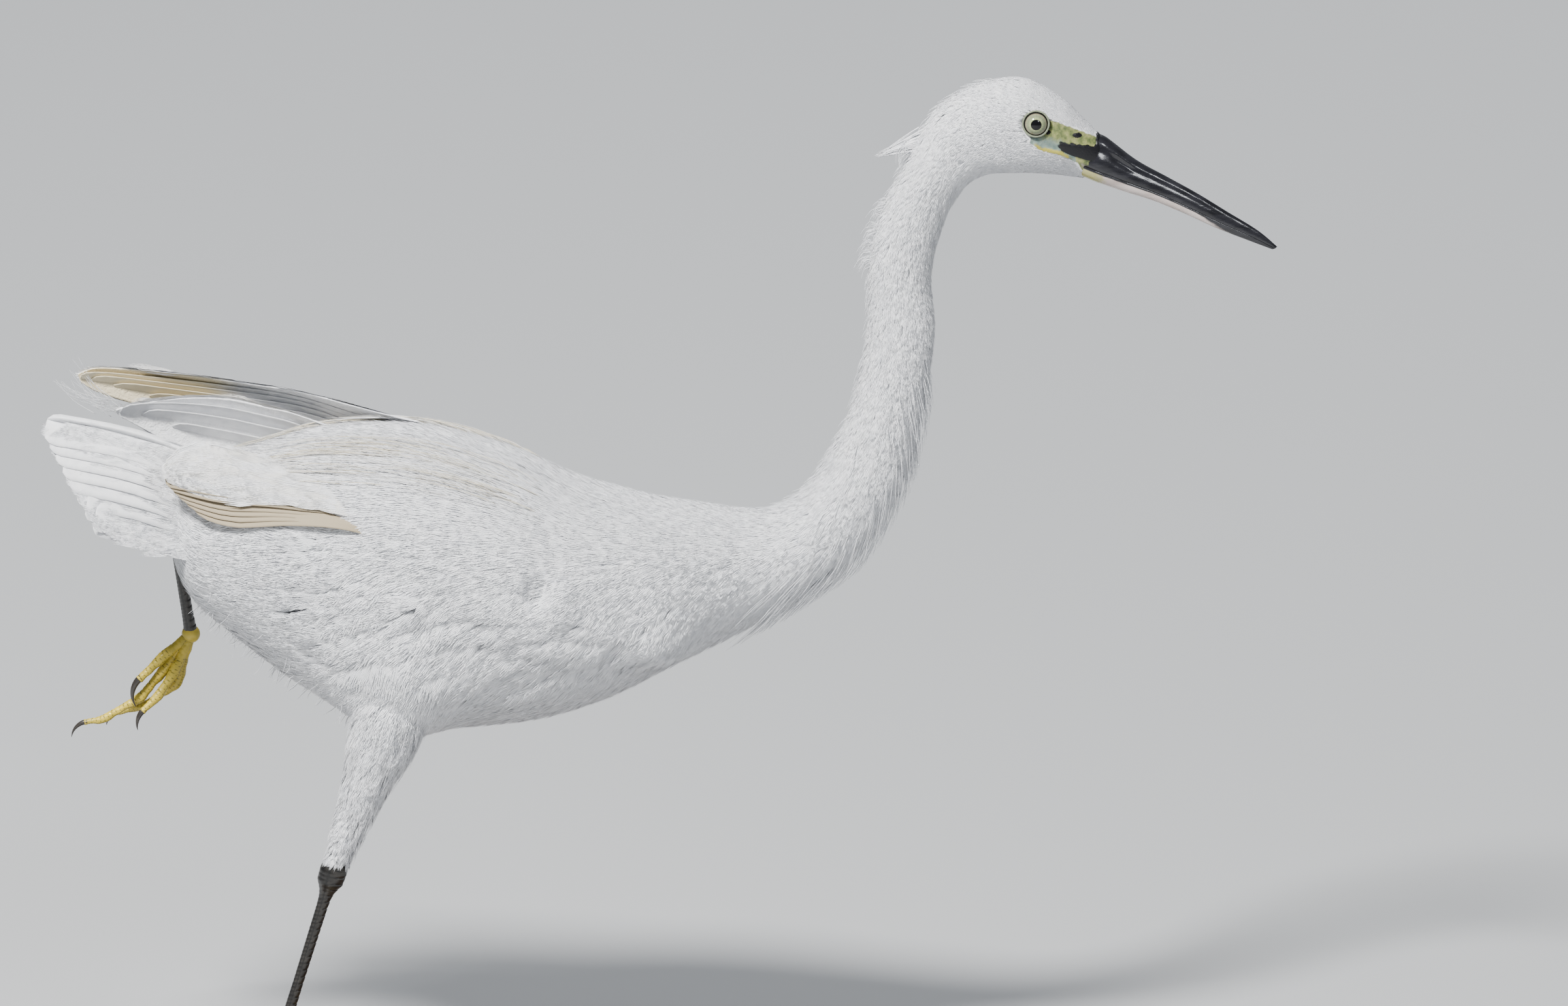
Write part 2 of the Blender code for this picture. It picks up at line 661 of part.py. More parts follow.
def make_tarsus(word, finish):
    """The bare end of the tibia, the heel and the shank."""
    heel = HEEL[word]
    towards = (THIGH_TOP[word] - heel).normalized()
    stub_end = heel + towards * (BARE_TIBIA[word] - GAP)
    along = -TARSUS_AXIS[word]
    foot_end = ANKLE[word] - along * ANKLE_REACH
    shank = tube("tarsus_" + word, [heel - along * 1.0, heel + along * 9.0,
                                    heel + along * 20.0, foot_end - along * 12.0, foot_end],
                 [4.2, 3.4, TARSUS_RADIUS, TARSUS_RADIUS, TARSUS_RADIUS * 1.25], 12, finish)
    joint = ball("joint", heel, HEEL_RADIUS, 12, 8)
    stub = tube("stub", [heel, stub_end], [BARE_RADIUS, BARE_RADIUS], 12)
    return combine(shank, [joint, stub], "UNION")


ToePlan = namedtuple("ToePlan", "name lengths yaw pitches claw curl")
GROUND = BASE_HEIGHT + GAP
RIGHT_TOES = [
    ToePlan("middle", (22.0, 21.0, 17.0), -4.0, (0, 0, 0), 9.0, 16.0),
    ToePlan("outer", (18.0, 18.0, 15.0), -34.0, (0, 0, 0), 8.0, 16.0),
    ToePlan("inner", (20.0, 15.0, 11.0), 27.0, (0, 0, 0), 8.5, 16.0),
    ToePlan("hallux", (14.0, 13.0), 172.0, (0, 0), 13.0, 20.0),
]
LEFT_TOES = [
    ToePlan("middle", (20.0, 15.0, 18.0, 8.0), 181.0, (-54, -50, -31, -10), 9.0, 20.0),
    ToePlan("outer", (22.0, 17.0, 13.0), 170.0, (-74, -40, -16), 8.0, 18.0),
    ToePlan("inner", (18.0, 12.0, 9.0), 203.0, (-64, -52, -40), 8.5, 18.0),
    ToePlan("hallux", (15.0, 14.0), 192.0, (-38, -42), 13.0, 22.0),
]


def heading(yaw, pitch):
    yaw = math.radians(yaw)
    pitch = math.radians(pitch)
    return Vector((math.cos(pitch) * math.cos(yaw), math.cos(pitch) * math.sin(yaw),
                   math.sin(pitch)))


def toe_route(hub, plan, on_ground):
    """Joints of a toe with the radius at each and at the middles of its bones."""
    path = [hub]
    radii = [TOE_RADIUS]
    bones = len(plan.lengths)
    for i, (length, pitch) in enumerate(zip(plan.lengths, plan.pitches)):
        start = path[-1]
        end = start + heading(plan.yaw, pitch) * length
        slender = 1.0 - 0.11 * (i + 1)
        joint_radius = TOE_RADIUS * slender * (1.12 if i + 1 < bones else 0.9)
        middle_radius = TOE_RADIUS * slender
        middle = (start + end) / 2.0
        if on_ground:
            end.z = GROUND + joint_radius
            middle.z = GROUND + middle_radius if i else (start.z + end.z) / 2.0
        path += [middle, end]
        radii += [middle_radius, joint_radius]
    return path, radii


def make_foot(word, plans, finish, claw_finish):
    """The toes joined at the foot's ball, and each claw in front of its toe."""
    hub = ANKLE[word]
    shank = -TARSUS_AXIS[word]
    on_ground = word == "right"
    toes = []
    for plan in plans:
        path, radii = toe_route(hub, plan, on_ground)
        toes.append(tube("toe", path, radii, 8))
        ahead = (path[-1] - path[-2]).normalized()
        point = path[-1] + ahead * GAP
        claw_path = [point]
        steps = 4
        pitch = math.degrees(math.asin(ahead.z)) + (10.0 if on_ground else 0.0)
        for i in range(steps):
            point = point + heading(plan.yaw, pitch) * plan.claw / steps
            pitch -= plan.curl
            claw_path.append(point)
        claw_radii = [radii[-1] * 0.9, radii[-1] * 0.75, radii[-1] * 0.55, radii[-1] * 0.32, 0.0]
        if on_ground:
            for i, radius in enumerate(claw_radii):
                claw_path[i].z = max(claw_path[i].z, GROUND + radius * 1.05 + 0.05)
        tube("claw_" + word + "_" + plan.name, claw_path, claw_radii, 8, claw_finish)
    stub = tube("stub", [hub, hub - shank * (ANKLE_REACH - GAP)], [3.4, 3.0], 12)
    foot = ball("foot_" + word, hub, FOOT_RADIUS, 12, 8, finish)
    return combine(foot, toes + [stub], "UNION")


def make_stand(finish):
    """A flat base with round corners and an eased upper edge."""
    corner_steps = 6
    outline = []
    for quarter in range(4):
        centre_x = (BASE_LENGTH / 2.0 - BASE_CORNER) * (1 if quarter in (0, 3) else -1)
        centre_y = (BASE_WIDTH / 2.0 - BASE_CORNER) * (1 if quarter in (0, 1) else -1)
        for i in range(corner_steps + 1):
            turn = math.radians(90.0 * (quarter + i / corner_steps))
            outline.append((centre_x, centre_y, math.cos(turn), math.sin(turn)))
    levels = [(0.0, 0.0), (BASE_HEIGHT - BASE_EDGE, 0.0), (BASE_HEIGHT - BASE_EDGE * 0.3, 0.3),
              (BASE_HEIGHT, 1.0)]
    rings = [[Vector((x + cos * (BASE_CORNER - BASE_EDGE * inset),
                      y + sin * (BASE_CORNER - BASE_EDGE * inset), z))
              for x, y, cos, sin in outline] for z, inset in levels]
    return loft("stand_base", rings, finish)


def clear_scene():
    for piece in list(bpy.data.objects):
        bpy.data.objects.remove(piece)


def main():
    clear_scene()
    white = material("white_feathers", FEATHER, 0.75)
    make_torso(white)
    body_piece("neck_lower", NECK_START, NECK_SECOND, 22, 6, white)
    body_piece("neck_middle", NECK_SECOND, NECK_THIRD, 22, 7, white)
    make_neck_upper(white)
    make_head(white)
    make_bill(material("bill_black", BILL_BLACK, 0.3))
    eye = material("eye", (0.5, 0.52, 0.3), 0.05)
    for word, side in SIDES.items():
        ball("eye_" + word, (EYE_X, side * EYE_Y, EYE_Z), EYE_RADIUS, 16, 9, eye)
        make_wing(word, white)
    make_tail(white)
    black = material("leg_black", LEG_BLACK, 0.45)
    yellow = material("foot_yellow", FOOT_YELLOW, 0.5)
    for word, plans in (("right", RIGHT_TOES), ("left", LEFT_TOES)):
        make_thigh(word, white)
        make_tarsus(word, black)
        make_foot(word, plans, yellow, black)
    make_stand(material("stand_wood", (0.05, 0.03, 0.02), 0.4))


main()
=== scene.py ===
"""Little egret: skin, plumage, bare parts, stand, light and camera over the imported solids.

+X is forward, +Z is up and -Y is the bird's right side. Sizes are in millimetres, and MM turns
them into metres where a mesh is made.
"""
import math
from collections import namedtuple

import bpy
import numpy as np
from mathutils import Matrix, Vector
from mathutils.kdtree import KDTree

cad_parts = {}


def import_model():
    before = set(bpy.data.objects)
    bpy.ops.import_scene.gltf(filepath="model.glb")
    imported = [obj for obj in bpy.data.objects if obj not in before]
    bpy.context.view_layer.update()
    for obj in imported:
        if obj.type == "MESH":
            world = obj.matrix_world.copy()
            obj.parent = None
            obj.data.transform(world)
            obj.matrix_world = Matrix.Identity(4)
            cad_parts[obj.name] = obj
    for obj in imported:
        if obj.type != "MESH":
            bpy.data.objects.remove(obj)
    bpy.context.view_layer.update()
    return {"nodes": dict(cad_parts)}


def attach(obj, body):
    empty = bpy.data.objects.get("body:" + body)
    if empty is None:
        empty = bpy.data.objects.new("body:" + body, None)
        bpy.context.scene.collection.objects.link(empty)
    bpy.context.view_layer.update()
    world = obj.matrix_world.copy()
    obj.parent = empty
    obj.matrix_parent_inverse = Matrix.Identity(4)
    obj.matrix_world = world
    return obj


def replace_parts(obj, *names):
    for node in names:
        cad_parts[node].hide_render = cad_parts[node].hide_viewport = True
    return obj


MM = 0.001
SEED = 11
TAU = 2.0 * math.pi
SIDES = {"right": -1.0, "left": 1.0}

# Camera. The photograph is 2400 by 1540 pixels at 3.683 pixels a millimetre,
# taken square to the bird's side from 16 degrees above level.
IMAGE_WIDTH = 2400
PIXELS_PER_MM = 3.683
CAMERA_ELEVATION = math.radians(16.1)
CAMERA_AIM = Vector((0.1358, 0.0, 0.2634))
CAMERA_DISTANCE = 12.0

# Trunk, neck and head, from the rump to the bill: a point of the back outline, the point of the
# front outline across from it, and the half width between them.
BODY = [
    (-117.0, 274.0, -121.0, 252.0, 10.0),
    (-102.0, 281.0, -113.0, 226.0, 22.0),
    (-80.0, 289.0, -91.0, 205.0, 32.0),
    (-50.0, 293.0, -56.0, 180.0, 40.0),
    (-15.0, 292.0, -14.0, 169.0, 45.0),
    (20.0, 282.5, 26.0, 169.5, 46.0),
    (50.0, 270.0, 60.0, 179.0, 43.0),
    (78.0, 264.5, 91.0, 194.5, 36.0),
    (104.0, 262.0, 117.0, 207.5, 28.5),
    (127.0, 260.5, 141.0, 221.0, 22.0),
    (143.0, 269.0, 166.0, 239.0, 18.0),
    (155.5, 287.5, 184.4, 269.4, 15.2),
    (164.5, 309.0, 193.5, 303.5, 13.5),
    (170.0, 339.0, 198.5, 336.0, 12.6),
    (170.5, 362.0, 197.0, 360.0, 12.0),
    (173.0, 382.0, 200.0, 377.0, 12.0),
    (181.0, 401.0, 205.0, 390.5, 12.0),
    (189.5, 418.0, 212.0, 400.5, 12.4),
    (198.0, 433.0, 220.5, 405.0, 13.2),
    (214.0, 443.5, 229.0, 405.5, 14.0),
    (234.0, 447.0, 238.0, 405.5, 14.0),
    (250.0, 439.0, 248.5, 404.8, 12.2),
    (260.5, 429.0, 257.5, 403.6, 9.2),
    (267.0, 422.5, 263.5, 402.8, 7.0),
]
BACK_BREADTH = 0.10
NECK_START = 9.0
HEAD_START = 17.2
HEAD_END = 23.0


def spline(values, place):
    """Catmull-Rom curve through rows of values, read at many places counted in rows."""
    values = np.asarray(values, float)
    place = np.asarray(place, float)
    last = len(values) - 1
    index = np.clip(place.astype(int), 0, last - 1)
    t = (place - index).reshape(place.shape + (1,) * (values.ndim - 1))
    before = values[np.clip(index - 1, 0, last)]
    start = values[index]
    end = values[index + 1]
    after = values[np.clip(index + 2, 0, last)]
    return 0.5 * (2.0 * start + (end - before) * t
                  + (2.0 * before - 5.0 * start + 4.0 * end - after) * t ** 2
                  + (3.0 * start - before - 3.0 * end + after) * t ** 3)


def unit(vectors):
    length = np.linalg.norm(vectors, axis=-1, keepdims=True)
    return vectors / np.maximum(length, 1e-9)


def smooth_step(low, high, values):
    t = np.clip((np.asarray(values, float) - low) / (high - low), 0.0, 1.0)
    return t * t * (3.0 - 2.0 * t)


def mix(pair, part):
    return pair[0] + (pair[1] - pair[0]) * part


def mirror(side):
    """Turns a place of the left side over to the side that is meant."""
    return np.array([1.0, side, 1.0])


def travelled(path):
    """Length of a path up to each of its points."""
    return np.concatenate([[0.0], np.cumsum(np.linalg.norm(np.diff(path, axis=0), axis=1))])


RIPPLE_WAVES = 7
RIPPLE_SUM = 2.6


def ripple(points, size, seed):
    """A smooth random field between about -1 and 1 whose waves are about size long."""
    rng = np.random.default_rng(seed)
    total = np.zeros(len(points))
    for _ in range(RIPPLE_WAVES):
        wave = unit(rng.normal(size=3)) * TAU / (size * rng.uniform(0.7, 1.6))
        total += np.sin(points @ wave + rng.uniform(0.0, TAU))
    return total / RIPPLE_SUM


def body_point(place, angle, lift):
    """Points of the body's surface. Angle 0 is the back and +90 degrees the left side."""
    section = spline(BODY, place)
    back = np.stack([section[:, 0], 0.0 * section[:, 0], section[:, 1]], axis=1)
    front = np.stack([section[:, 2], 0.0 * section[:, 0], section[:, 3]], axis=1)
    span = back - front
    depth = np.linalg.norm(span, axis=1) / 2.0
    rise = unit(span)
    cos = np.cos(angle)
    breadth = (section[:, 4] + lift) * (1.0 + BACK_BREADTH * cos)
    point = (back + front) / 2.0 + rise * ((depth + lift) * cos)[:, None]
    point[:, 1] += breadth * np.sin(angle)
    return point


# Folded wings raise the trunk's outline between an upper and a lower angle from the back
WING_REAR = 2.2
WING_FRONT = 7.8
WING_UPPER = [0.0, 0.0, 8.0, 4.0, 3.0, 4.0, 8.0, 24.0, 66.0]
WING_LOWER = [50.0, 40.0, 42.0, 54.0, 80.0, 103.0, 120.0, 136.0, 120.0]
WING_DEPTH = 5.2
WING_RIM = 1.3
WING_RAISE = {-1.0: 0.0, 1.0: 1.8}
MANTLE_BLEND = math.radians(14.0)


def wing_height(side, a, b):
    """Height of a folded wing over the trunk, fading out past its front, rear and lower edge."""
    reach = (a - WING_REAR) / (WING_FRONT - WING_REAR)
    place = np.clip(a, WING_REAR, WING_FRONT)
    upper = np.radians(spline(WING_UPPER, place))
    lower = np.radians(spline(WING_LOWER, place))
    across = (np.abs(b) - upper) / (lower - upper)
    arch = np.sin(math.pi * np.clip(reach, 0.0, 1.0))
    dome = np.sin(math.pi * np.clip(across, 0.0, 1.0)) ** 0.6
    height = WING_RIM + WING_RAISE[side] * np.clip(1.0 - across, 0.0, 1.0) * arch ** 2
    height = height + (WING_DEPTH - WING_RIM) * np.sqrt(arch) * dome
    edge = smooth_step(1.25, 0.9, across) * smooth_step(-0.08, 0.1, reach)
    return height * edge * smooth_step(1.12, 0.85, reach)


# Legs
BARE_TIBIA = {"right": 6.8, "left": 17.0}
TARSUS_LENGTH = 88.0
TARSUS_LEAN = math.radians(17.0)
TARSUS_AXIS = {"right": np.array([math.sin(TARSUS_LEAN), 0.0, math.cos(TARSUS_LEAN)]),
               "left": unit(np.array([-12.0, -18.0, 83.4]))}
HEEL_RIGHT = np.array([-52.0, -22.0, 110.0])
ANKLE_LEFT = np.array([-112.0, 47.0, 193.0])
HEEL = {"right": HEEL_RIGHT, "left": ANKLE_LEFT + TARSUS_AXIS["left"] * TARSUS_LENGTH}
ANKLE = {"right": HEEL_RIGHT - TARSUS_AXIS["right"] * TARSUS_LENGTH, "left": ANKLE_LEFT}
THIGH_TOP = {"right": np.array([-20.0, -25.0, 198.0]), "left": np.array([-12.0, 30.0, 218.0])}
THIGH_RADII = {"right": [11.0, 13.5, 12.3, 9.5, 7.0, 5.2],
               "left": [12.0, 14.0, 13.5, 11.0, 8.0, 5.4]}


def cross_axes(along):
    """Two unit vectors square to a direction and to each other."""
    first = unit(np.cross(along, [0.0, 1.0, 0.0]))
    return first, np.cross(along, first)


def full_turn(count):
    """Angles spread evenly over a full turn."""
    return np.linspace(0.0, TAU, count, endpoint=False)


def circle(axis, turn):
    """Directions square to an axis, one for each angle."""
    first, second = cross_axes(axis)
    return first * np.cos(turn)[:, None] + second * np.sin(turn)[:, None]


def thigh_end(word):
    towards = unit(THIGH_TOP[word] - HEEL[word])
    return HEEL[word] + towards * BARE_TIBIA[word]


def thigh_surface(word, flare=0.0):
    """The feathered tibia: a from its bare end up into the body, b the angle round it."""
    top = THIGH_TOP[word]
    end = thigh_end(word)
    first, second = cross_axes(unit(top - end))

    def surface(a, b, lift):
        radius = spline(THIGH_RADII[word], 5.0 * (1.0 - a)) + lift
        radius = radius + flare * smooth_step(0.4, 0.65, a) * smooth_step(0.98, 0.75, a)
        centre = end + (top - end) * a[:, None]
        return (centre + first * (radius * np.cos(b))[:, None]
                + second * (radius * np.sin(b))[:, None])
    return surface


THIGH_BLEND = {"right": 13.0, "left": 6.5}
THIGH_BLEND_REACH = {"right": 20.0, "left": 17.0}
THIGH_BLEND_FALL = {"right": 2.0, "left": 3.5}


def thigh_gap(word, point):
    """Distances from the middle line of a thigh."""
    top = THIGH_TOP[word]
    span = thigh_end(word) - top
    share = np.clip((point - top) @ span / (span @ span), 0.0, 1.0)
    return np.linalg.norm(point - top - share[:, None] * span, axis=1)


def thigh_blend(point):
    """Swelling of the trunk where a thigh grows out of it."""
    total = np.zeros(len(point))
    for word in SIDES:
        gap = thigh_gap(word, point) / THIGH_BLEND_REACH[word]
        total += THIGH_BLEND[word] * np.exp(-gap ** THIGH_BLEND_FALL[word])
    return total


# Rounded forms under the coat: centre with its distance outwards, reach along and up, height
Swelling = namedtuple("Swelling", "centre along up height sides")
SWELLINGS = [
    Swelling((85.0, 30.0, 212.5), 11.0, 9.0, 5.0, (-1.0, 1.0)),
    Swelling((-18.5, 42.0, 231.5), 8.0, 7.5, 3.0, (-1.0,)),
    Swelling((44.0, 39.0, 233.0), 7.5, 9.5, 3.2, (-1.0,)),
    Swelling((33.0, 40.0, 237.0), 4.5, 6.5, -5.5, (-1.0,)),
]


def swollen(point):
    """Height of the rounded forms at points of the trunk."""
    total = np.zeros(len(point))
    for plan in SWELLINGS:
        for side in plan.sides:
            across = (point[:, 0] - plan.centre[0]) / plan.along
            up = (point[:, 2] - plan.centre[2]) / plan.up
            near = smooth_step(0.3, 0.7, point[:, 1] * side / plan.centre[1])
            total += plan.height * near * np.exp(-(across ** 2 + up ** 2) ** 1.4)
    return total


RUMP_END = np.array([-134.0, 0.0, 271.0])
RUMP_END_DEPTH = 12.0
RUMP_END_WIDTH = 8.0


def plumage_surface(a, b, lift):
    """The outer face of the plumage: trunk, neck and head with the folded wings on them.

    Behind the trunk, where a is below 0, it narrows to the root of the tail at -1.
    """
    b = (b + math.pi) % TAU - math.pi
    past = np.clip(-a, 0.0, 2.0)[:, None]
    a = np.maximum(a, 0.0)
    left = smooth_step(-MANTLE_BLEND, MANTLE_BLEND, b)
    left = np.where(np.abs(b) > math.pi / 2.0, (b > 0.0) * 1.0, left)
    height = (1.0 - left) * wing_height(-1.0, a, b) + left * wing_height(1.0, a, b)
    plain = body_point(a, b, 0.0 * a)
    height = height + np.where(a < NECK_START, thigh_blend(plain) + swollen(plain), 0.0)
    point = body_point(a, b, lift + height)
    end = np.stack([0.0 * a, (RUMP_END_WIDTH + lift) * np.sin(b),
                    (RUMP_END_DEPTH + lift) * np.cos(b)], axis=1) + RUMP_END
    return point + (end - point) * past


def surface_frame(surface, a, b, lift):
    """Where a surface is at many places, its normal, and how fast it runs along a and b."""
    step = 1e-3
    here = surface(a, b, lift)
    run_a = (surface(a + step, b, lift) - here) / step
    run_b = (surface(a, b + step, lift) - here) / step
    return here, unit(np.cross(run_b, run_a)), run_a, run_b


# Meshes
def add_object(name, data):
    held = bpy.data.objects.new(name, data)
    bpy.context.scene.collection.objects.link(held)
    return held


def make_mesh(name, points, faces, patch=None, **fields):
    """A mesh object from arrays in millimetres, with its bake map and its stored fields."""
    mesh = bpy.data.meshes.new(name)
    points = np.asarray(points, float) * MM
    faces = np.asarray(faces, np.int32)
    mesh.vertices.add(len(points))
    mesh.vertices.foreach_set("co", points.ravel())
    mesh.loops.add(faces.size)
    mesh.loops.foreach_set("vertex_index", faces.ravel())
    mesh.polygons.add(len(faces))
    starts = np.arange(len(faces), dtype=np.int32) * faces.shape[1]
    mesh.polygons.foreach_set("loop_start", starts)
    mesh.update(calc_edges=True)
    mesh.shade_smooth()
    if patch is not None:
        layer = mesh.uv_layers.new(name="OFBake")
        layer.data.foreach_set("uv", np.asarray(patch, float)[faces.ravel()].ravel())
    for field, values in fields.items():
        held = mesh.attributes.new(field, "FLOAT", "POINT")
        held.data.foreach_set("value", np.asarray(values, float))
    return add_object(name, mesh)


def set_material(piece, material):
    piece.data.materials.clear()
    piece.data.materials.append(material)


def finish_piece(piece, material):
    set_material(piece, material)
    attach(piece, "root")
    return piece


def tube_faces(rows, sides):
    """Triangles between neighbouring rings of points."""
    row = np.arange(rows - 1)[:, None] * sides
    k = np.arange(sides)[None]
    following = (k + 1) % sides
    quads = np.stack([row + k, row + following, row + sides + following, row + sides + k], axis=-1)
    quads = quads.reshape(-1, 4)
    return np.concatenate([quads[:, [0, 1, 2]], quads[:, [0, 2, 3]]])


def grid_mesh(name, rings, closed_caps=True, **fields):
    """A body through equal rings of points, its ends closed on their middles unless they meet."""
    rings = np.asarray(rings, float)
    count, sides = rings.shape[:2]
    points = rings.reshape(-1, 3)
    faces = tube_faces(count, sides)
    if closed_caps:
        points = np.concatenate([points, rings[0].mean(axis=0)[None], rings[-1].mean(axis=0)[None]])
        start = np.full(sides, len(points) - 2)
        k = np.arange(sides)
        last = (count - 1) * sides
        faces = np.concatenate([
            faces, np.stack([start, (k + 1) % sides, k], axis=1),
            np.stack([start + 1, last + k, last + (k + 1) % sides], axis=1)])
        fields = {field: np.concatenate([values, [values[0], values[-1]]])
                  for field, values in fields.items()}
    return make_mesh(name, points, faces, **fields)


# Materials
def node_material(name):
    """A node material with its tree and its Principled shader."""
    made = bpy.data.materials.new(name)
    made.use_nodes = True
    return made, made.node_tree, made.node_tree.nodes["Principled BSDF"]


def add_node(tree, kind, settings=None, **values):
    node = tree.nodes.new(kind)
    for key, value in (settings or {}).items():
        setattr(node, key, value)
    for key, value in values.items():
        node.inputs[key.replace("_", " ")].default_value = value
    return node


def connect(tree, value, target):
    """Links a socket to another one, or sets it to a number or a colour."""
    if isinstance(value, bpy.types.NodeSocket):
        tree.links.new(value, target)
    else:
        target.default_value = (*value, 1.0) if isinstance(value, tuple) else value


def stored(tree, field):
    return add_node(tree, "ShaderNodeAttribute", {"attribute_name": field}).outputs["Fac"]


def calculate(tree, operation, *values):
    """The result of a calculation with sockets and numbers."""
    node = add_node(tree, "ShaderNodeMath", {"operation": operation})
    for target, value in zip(node.inputs, values):
        connect(tree, value, target)
    return node.outputs["Value"]


def object_place(tree, stretch):
    """The object's own coordinates, in metres, stretched along an axis."""
    place = tree.nodes.new("ShaderNodeTexCoord")
    mapping = tree.nodes.new("ShaderNodeMapping")
    mapping.inputs["Scale"].default_value = stretch
    tree.links.new(place.outputs["Object"], mapping.inputs["Vector"])
    return mapping.outputs["Vector"]


def noise_node(tree, scale, detail=4.0, stretch=(1.0, 1.0, 1.0)):
    noise = add_node(tree, "ShaderNodeTexNoise", Scale=scale, Detail=detail)
    tree.links.new(object_place(tree, stretch), noise.inputs["Vector"])
    return noise.outputs["Fac"]


def ramp(tree, factor, *stops):
    node = tree.nodes.new("ShaderNodeValToRGB")
    while len(node.color_ramp.elements) < len(stops):
        node.color_ramp.elements.new(0.5)
    for element, (position, colour) in zip(node.color_ramp.elements, stops):
        element.position = position
        element.color = (*colour, 1.0)
    tree.links.new(factor, node.inputs["Fac"])
    return node.outputs["Color"]


def blend_colours(tree, factor, first, second, blend="MIX"):
    node = add_node(tree, "ShaderNodeMix", {"data_type": "RGBA", "blend_type": blend})
    targets = [item for item in node.inputs if item.type == "RGBA"]
    connect(tree, factor, node.inputs["Factor"])
    connect(tree, first, targets[0])
    connect(tree, second, targets[1])
    return [item for item in node.outputs if item.type == "RGBA"][0]


NOISE_RANGE = (0.3, 0.7)


def field_mask(tree, field, low, high, rough=0.0, scale=600.0):
    """0 to 1 as a stored field passes from low to high, its edge broken up by noise."""
    value = stored(tree, field)
    if rough:
        spread = add_node(tree, "ShaderNodeMapRange", From_Min=NOISE_RANGE[0],
                          From_Max=NOISE_RANGE[1], To_Min=-rough, To_Max=rough)
        tree.links.new(noise_node(tree, scale), spread.inputs["Value"])
        value = calculate(tree, "ADD", value, spread.outputs["Result"])
    mask = add_node(tree, "ShaderNodeMapRange", {"interpolation_type": "SMOOTHSTEP"},
                    From_Min=low, From_Max=high)
    tree.links.new(value, mask.inputs["Value"])
    return mask.outputs["Result"]


def dress_shader(tree, shader, colour, bump=None, **constants):
    """A shader's colour, the constants of its own sockets, and its bump.

    The bump is its height, strength and distance.
    """
    connect(tree, colour, shader.inputs["Base Color"])
    for key, value in constants.items():
        shader.inputs[key.replace("_", " ")].default_value = value
    if bump:
        node = add_node(tree, "ShaderNodeBump", Strength=bump[1], Distance=bump[2])
        tree.links.new(bump[0], node.inputs["Height"])
        tree.links.new(node.outputs["Normal"], shader.inputs["Normal"])


WHITE = (0.84, 0.85, 0.875)
SHADED_WHITE = (0.74, 0.755, 0.79)
CREAM = (0.74, 0.66, 0.47)
# Painted tan shade: the shade under and inside the folded wings
PAINTED_SHADE_TAN = (0.37, 0.305, 0.205)


def plumage_colour(tree):
    """White with a cool painted shade between the feathers; cream where the stored field reaches 1,
    and painted tan shade as it goes on to 2.
    """
    white = ramp(tree, noise_node(tree, 260.0), (0.3, SHADED_WHITE), (0.6, WHITE))
    cream = blend_colours(tree, field_mask(tree, "tint", 0.0, 1.0), white, CREAM)
    # Painted tan shade where the field passes 1
    return blend_colours(tree, field_mask(tree, "tint", 1.0, 2.0), cream, PAINTED_SHADE_TAN)


FINE_BARB_PITCH = 0.62
FINE_BARB_SHIFT = 14.0


def down_material():
    """Soft small feathers: matt, with a faint sheen and fine uneven barbs."""
    made, tree, shader = node_material("soft_feathers")
    shift = calculate(tree, "MULTIPLY", noise_node(tree, 500.0, 2.0), FINE_BARB_SHIFT)
    turns = calculate(tree, "MULTIPLY_ADD", stored(tree, "across"), TAU / FINE_BARB_PITCH, shift)
    dress_shader(tree, shader, plumage_colour(tree),
                 (calculate(tree, "SINE", turns), 0.55, 0.00018), Roughness=0.85, Sheen_Weight=0.15)
    return made


BARB_PITCH = 0.55
BARB_SLANT = 0.8


def vane_material():
    """Firm vanes: barbs slanted back from the shaft to both edges."""
    made, tree, shader = node_material("vane_feathers")
    away = calculate(tree, "ABSOLUTE", stored(tree, "across"))
    slant = calculate(tree, "MULTIPLY", away, BARB_SLANT)
    back = calculate(tree, "SUBTRACT", stored(tree, "along"), slant)
    turns = calculate(tree, "MULTIPLY", back, TAU / BARB_PITCH)
    dress_shader(tree, shader, plumage_colour(tree),
                 (calculate(tree, "SINE", turns), 0.35, 0.00012), Roughness=0.62, Sheen_Weight=0.1)
    return made


# Coat of small feathers
PIECE_LIMIT = 190000
PATCH = 0.003
CoatLook = namedtuple("CoatLook", "barbs splay camber wander root_lift tip_lift")


class Coat:
    """Small feathers gathered into joined meshes of a limited size."""

    def __init__(self, name):
        self.name = name
        self.kinds = []

    def add(self, points, faces, patches, tint, across):
        """Feathers of one shape: points as feather, corner and axis, across in millimetres."""
        shape = points.shape[:2]
        tint = np.broadcast_to(np.reshape(tint, (-1, 1)), shape)
        self.kinds.append((points, faces, patches, tint, np.broadcast_to(across, shape)))

    def build(self, material):
        made = 0
        for points, faces, patches, tint, across in self.kinds:
            parts = max(1, math.ceil(len(points) / (PIECE_LIMIT // len(faces))))
            for share in np.array_split(np.arange(len(points)), parts):
                offset = (np.arange(len(share)) * points.shape[1])[:, None, None]
                made += 1
                piece = make_mesh(f"{self.name}_{made}", points[share].reshape(-1, 3),
                                  (faces[None] + offset).reshape(-1, 3),
                                  patches[share].reshape(-1, 2), across=across[share].ravel(),
                                  tint=tint[share].ravel())
                finish_piece(piece, material)


Clumps = namedtuple("Clumps", "share gather turn rise grain stretch", defaults=(None, 1.0))


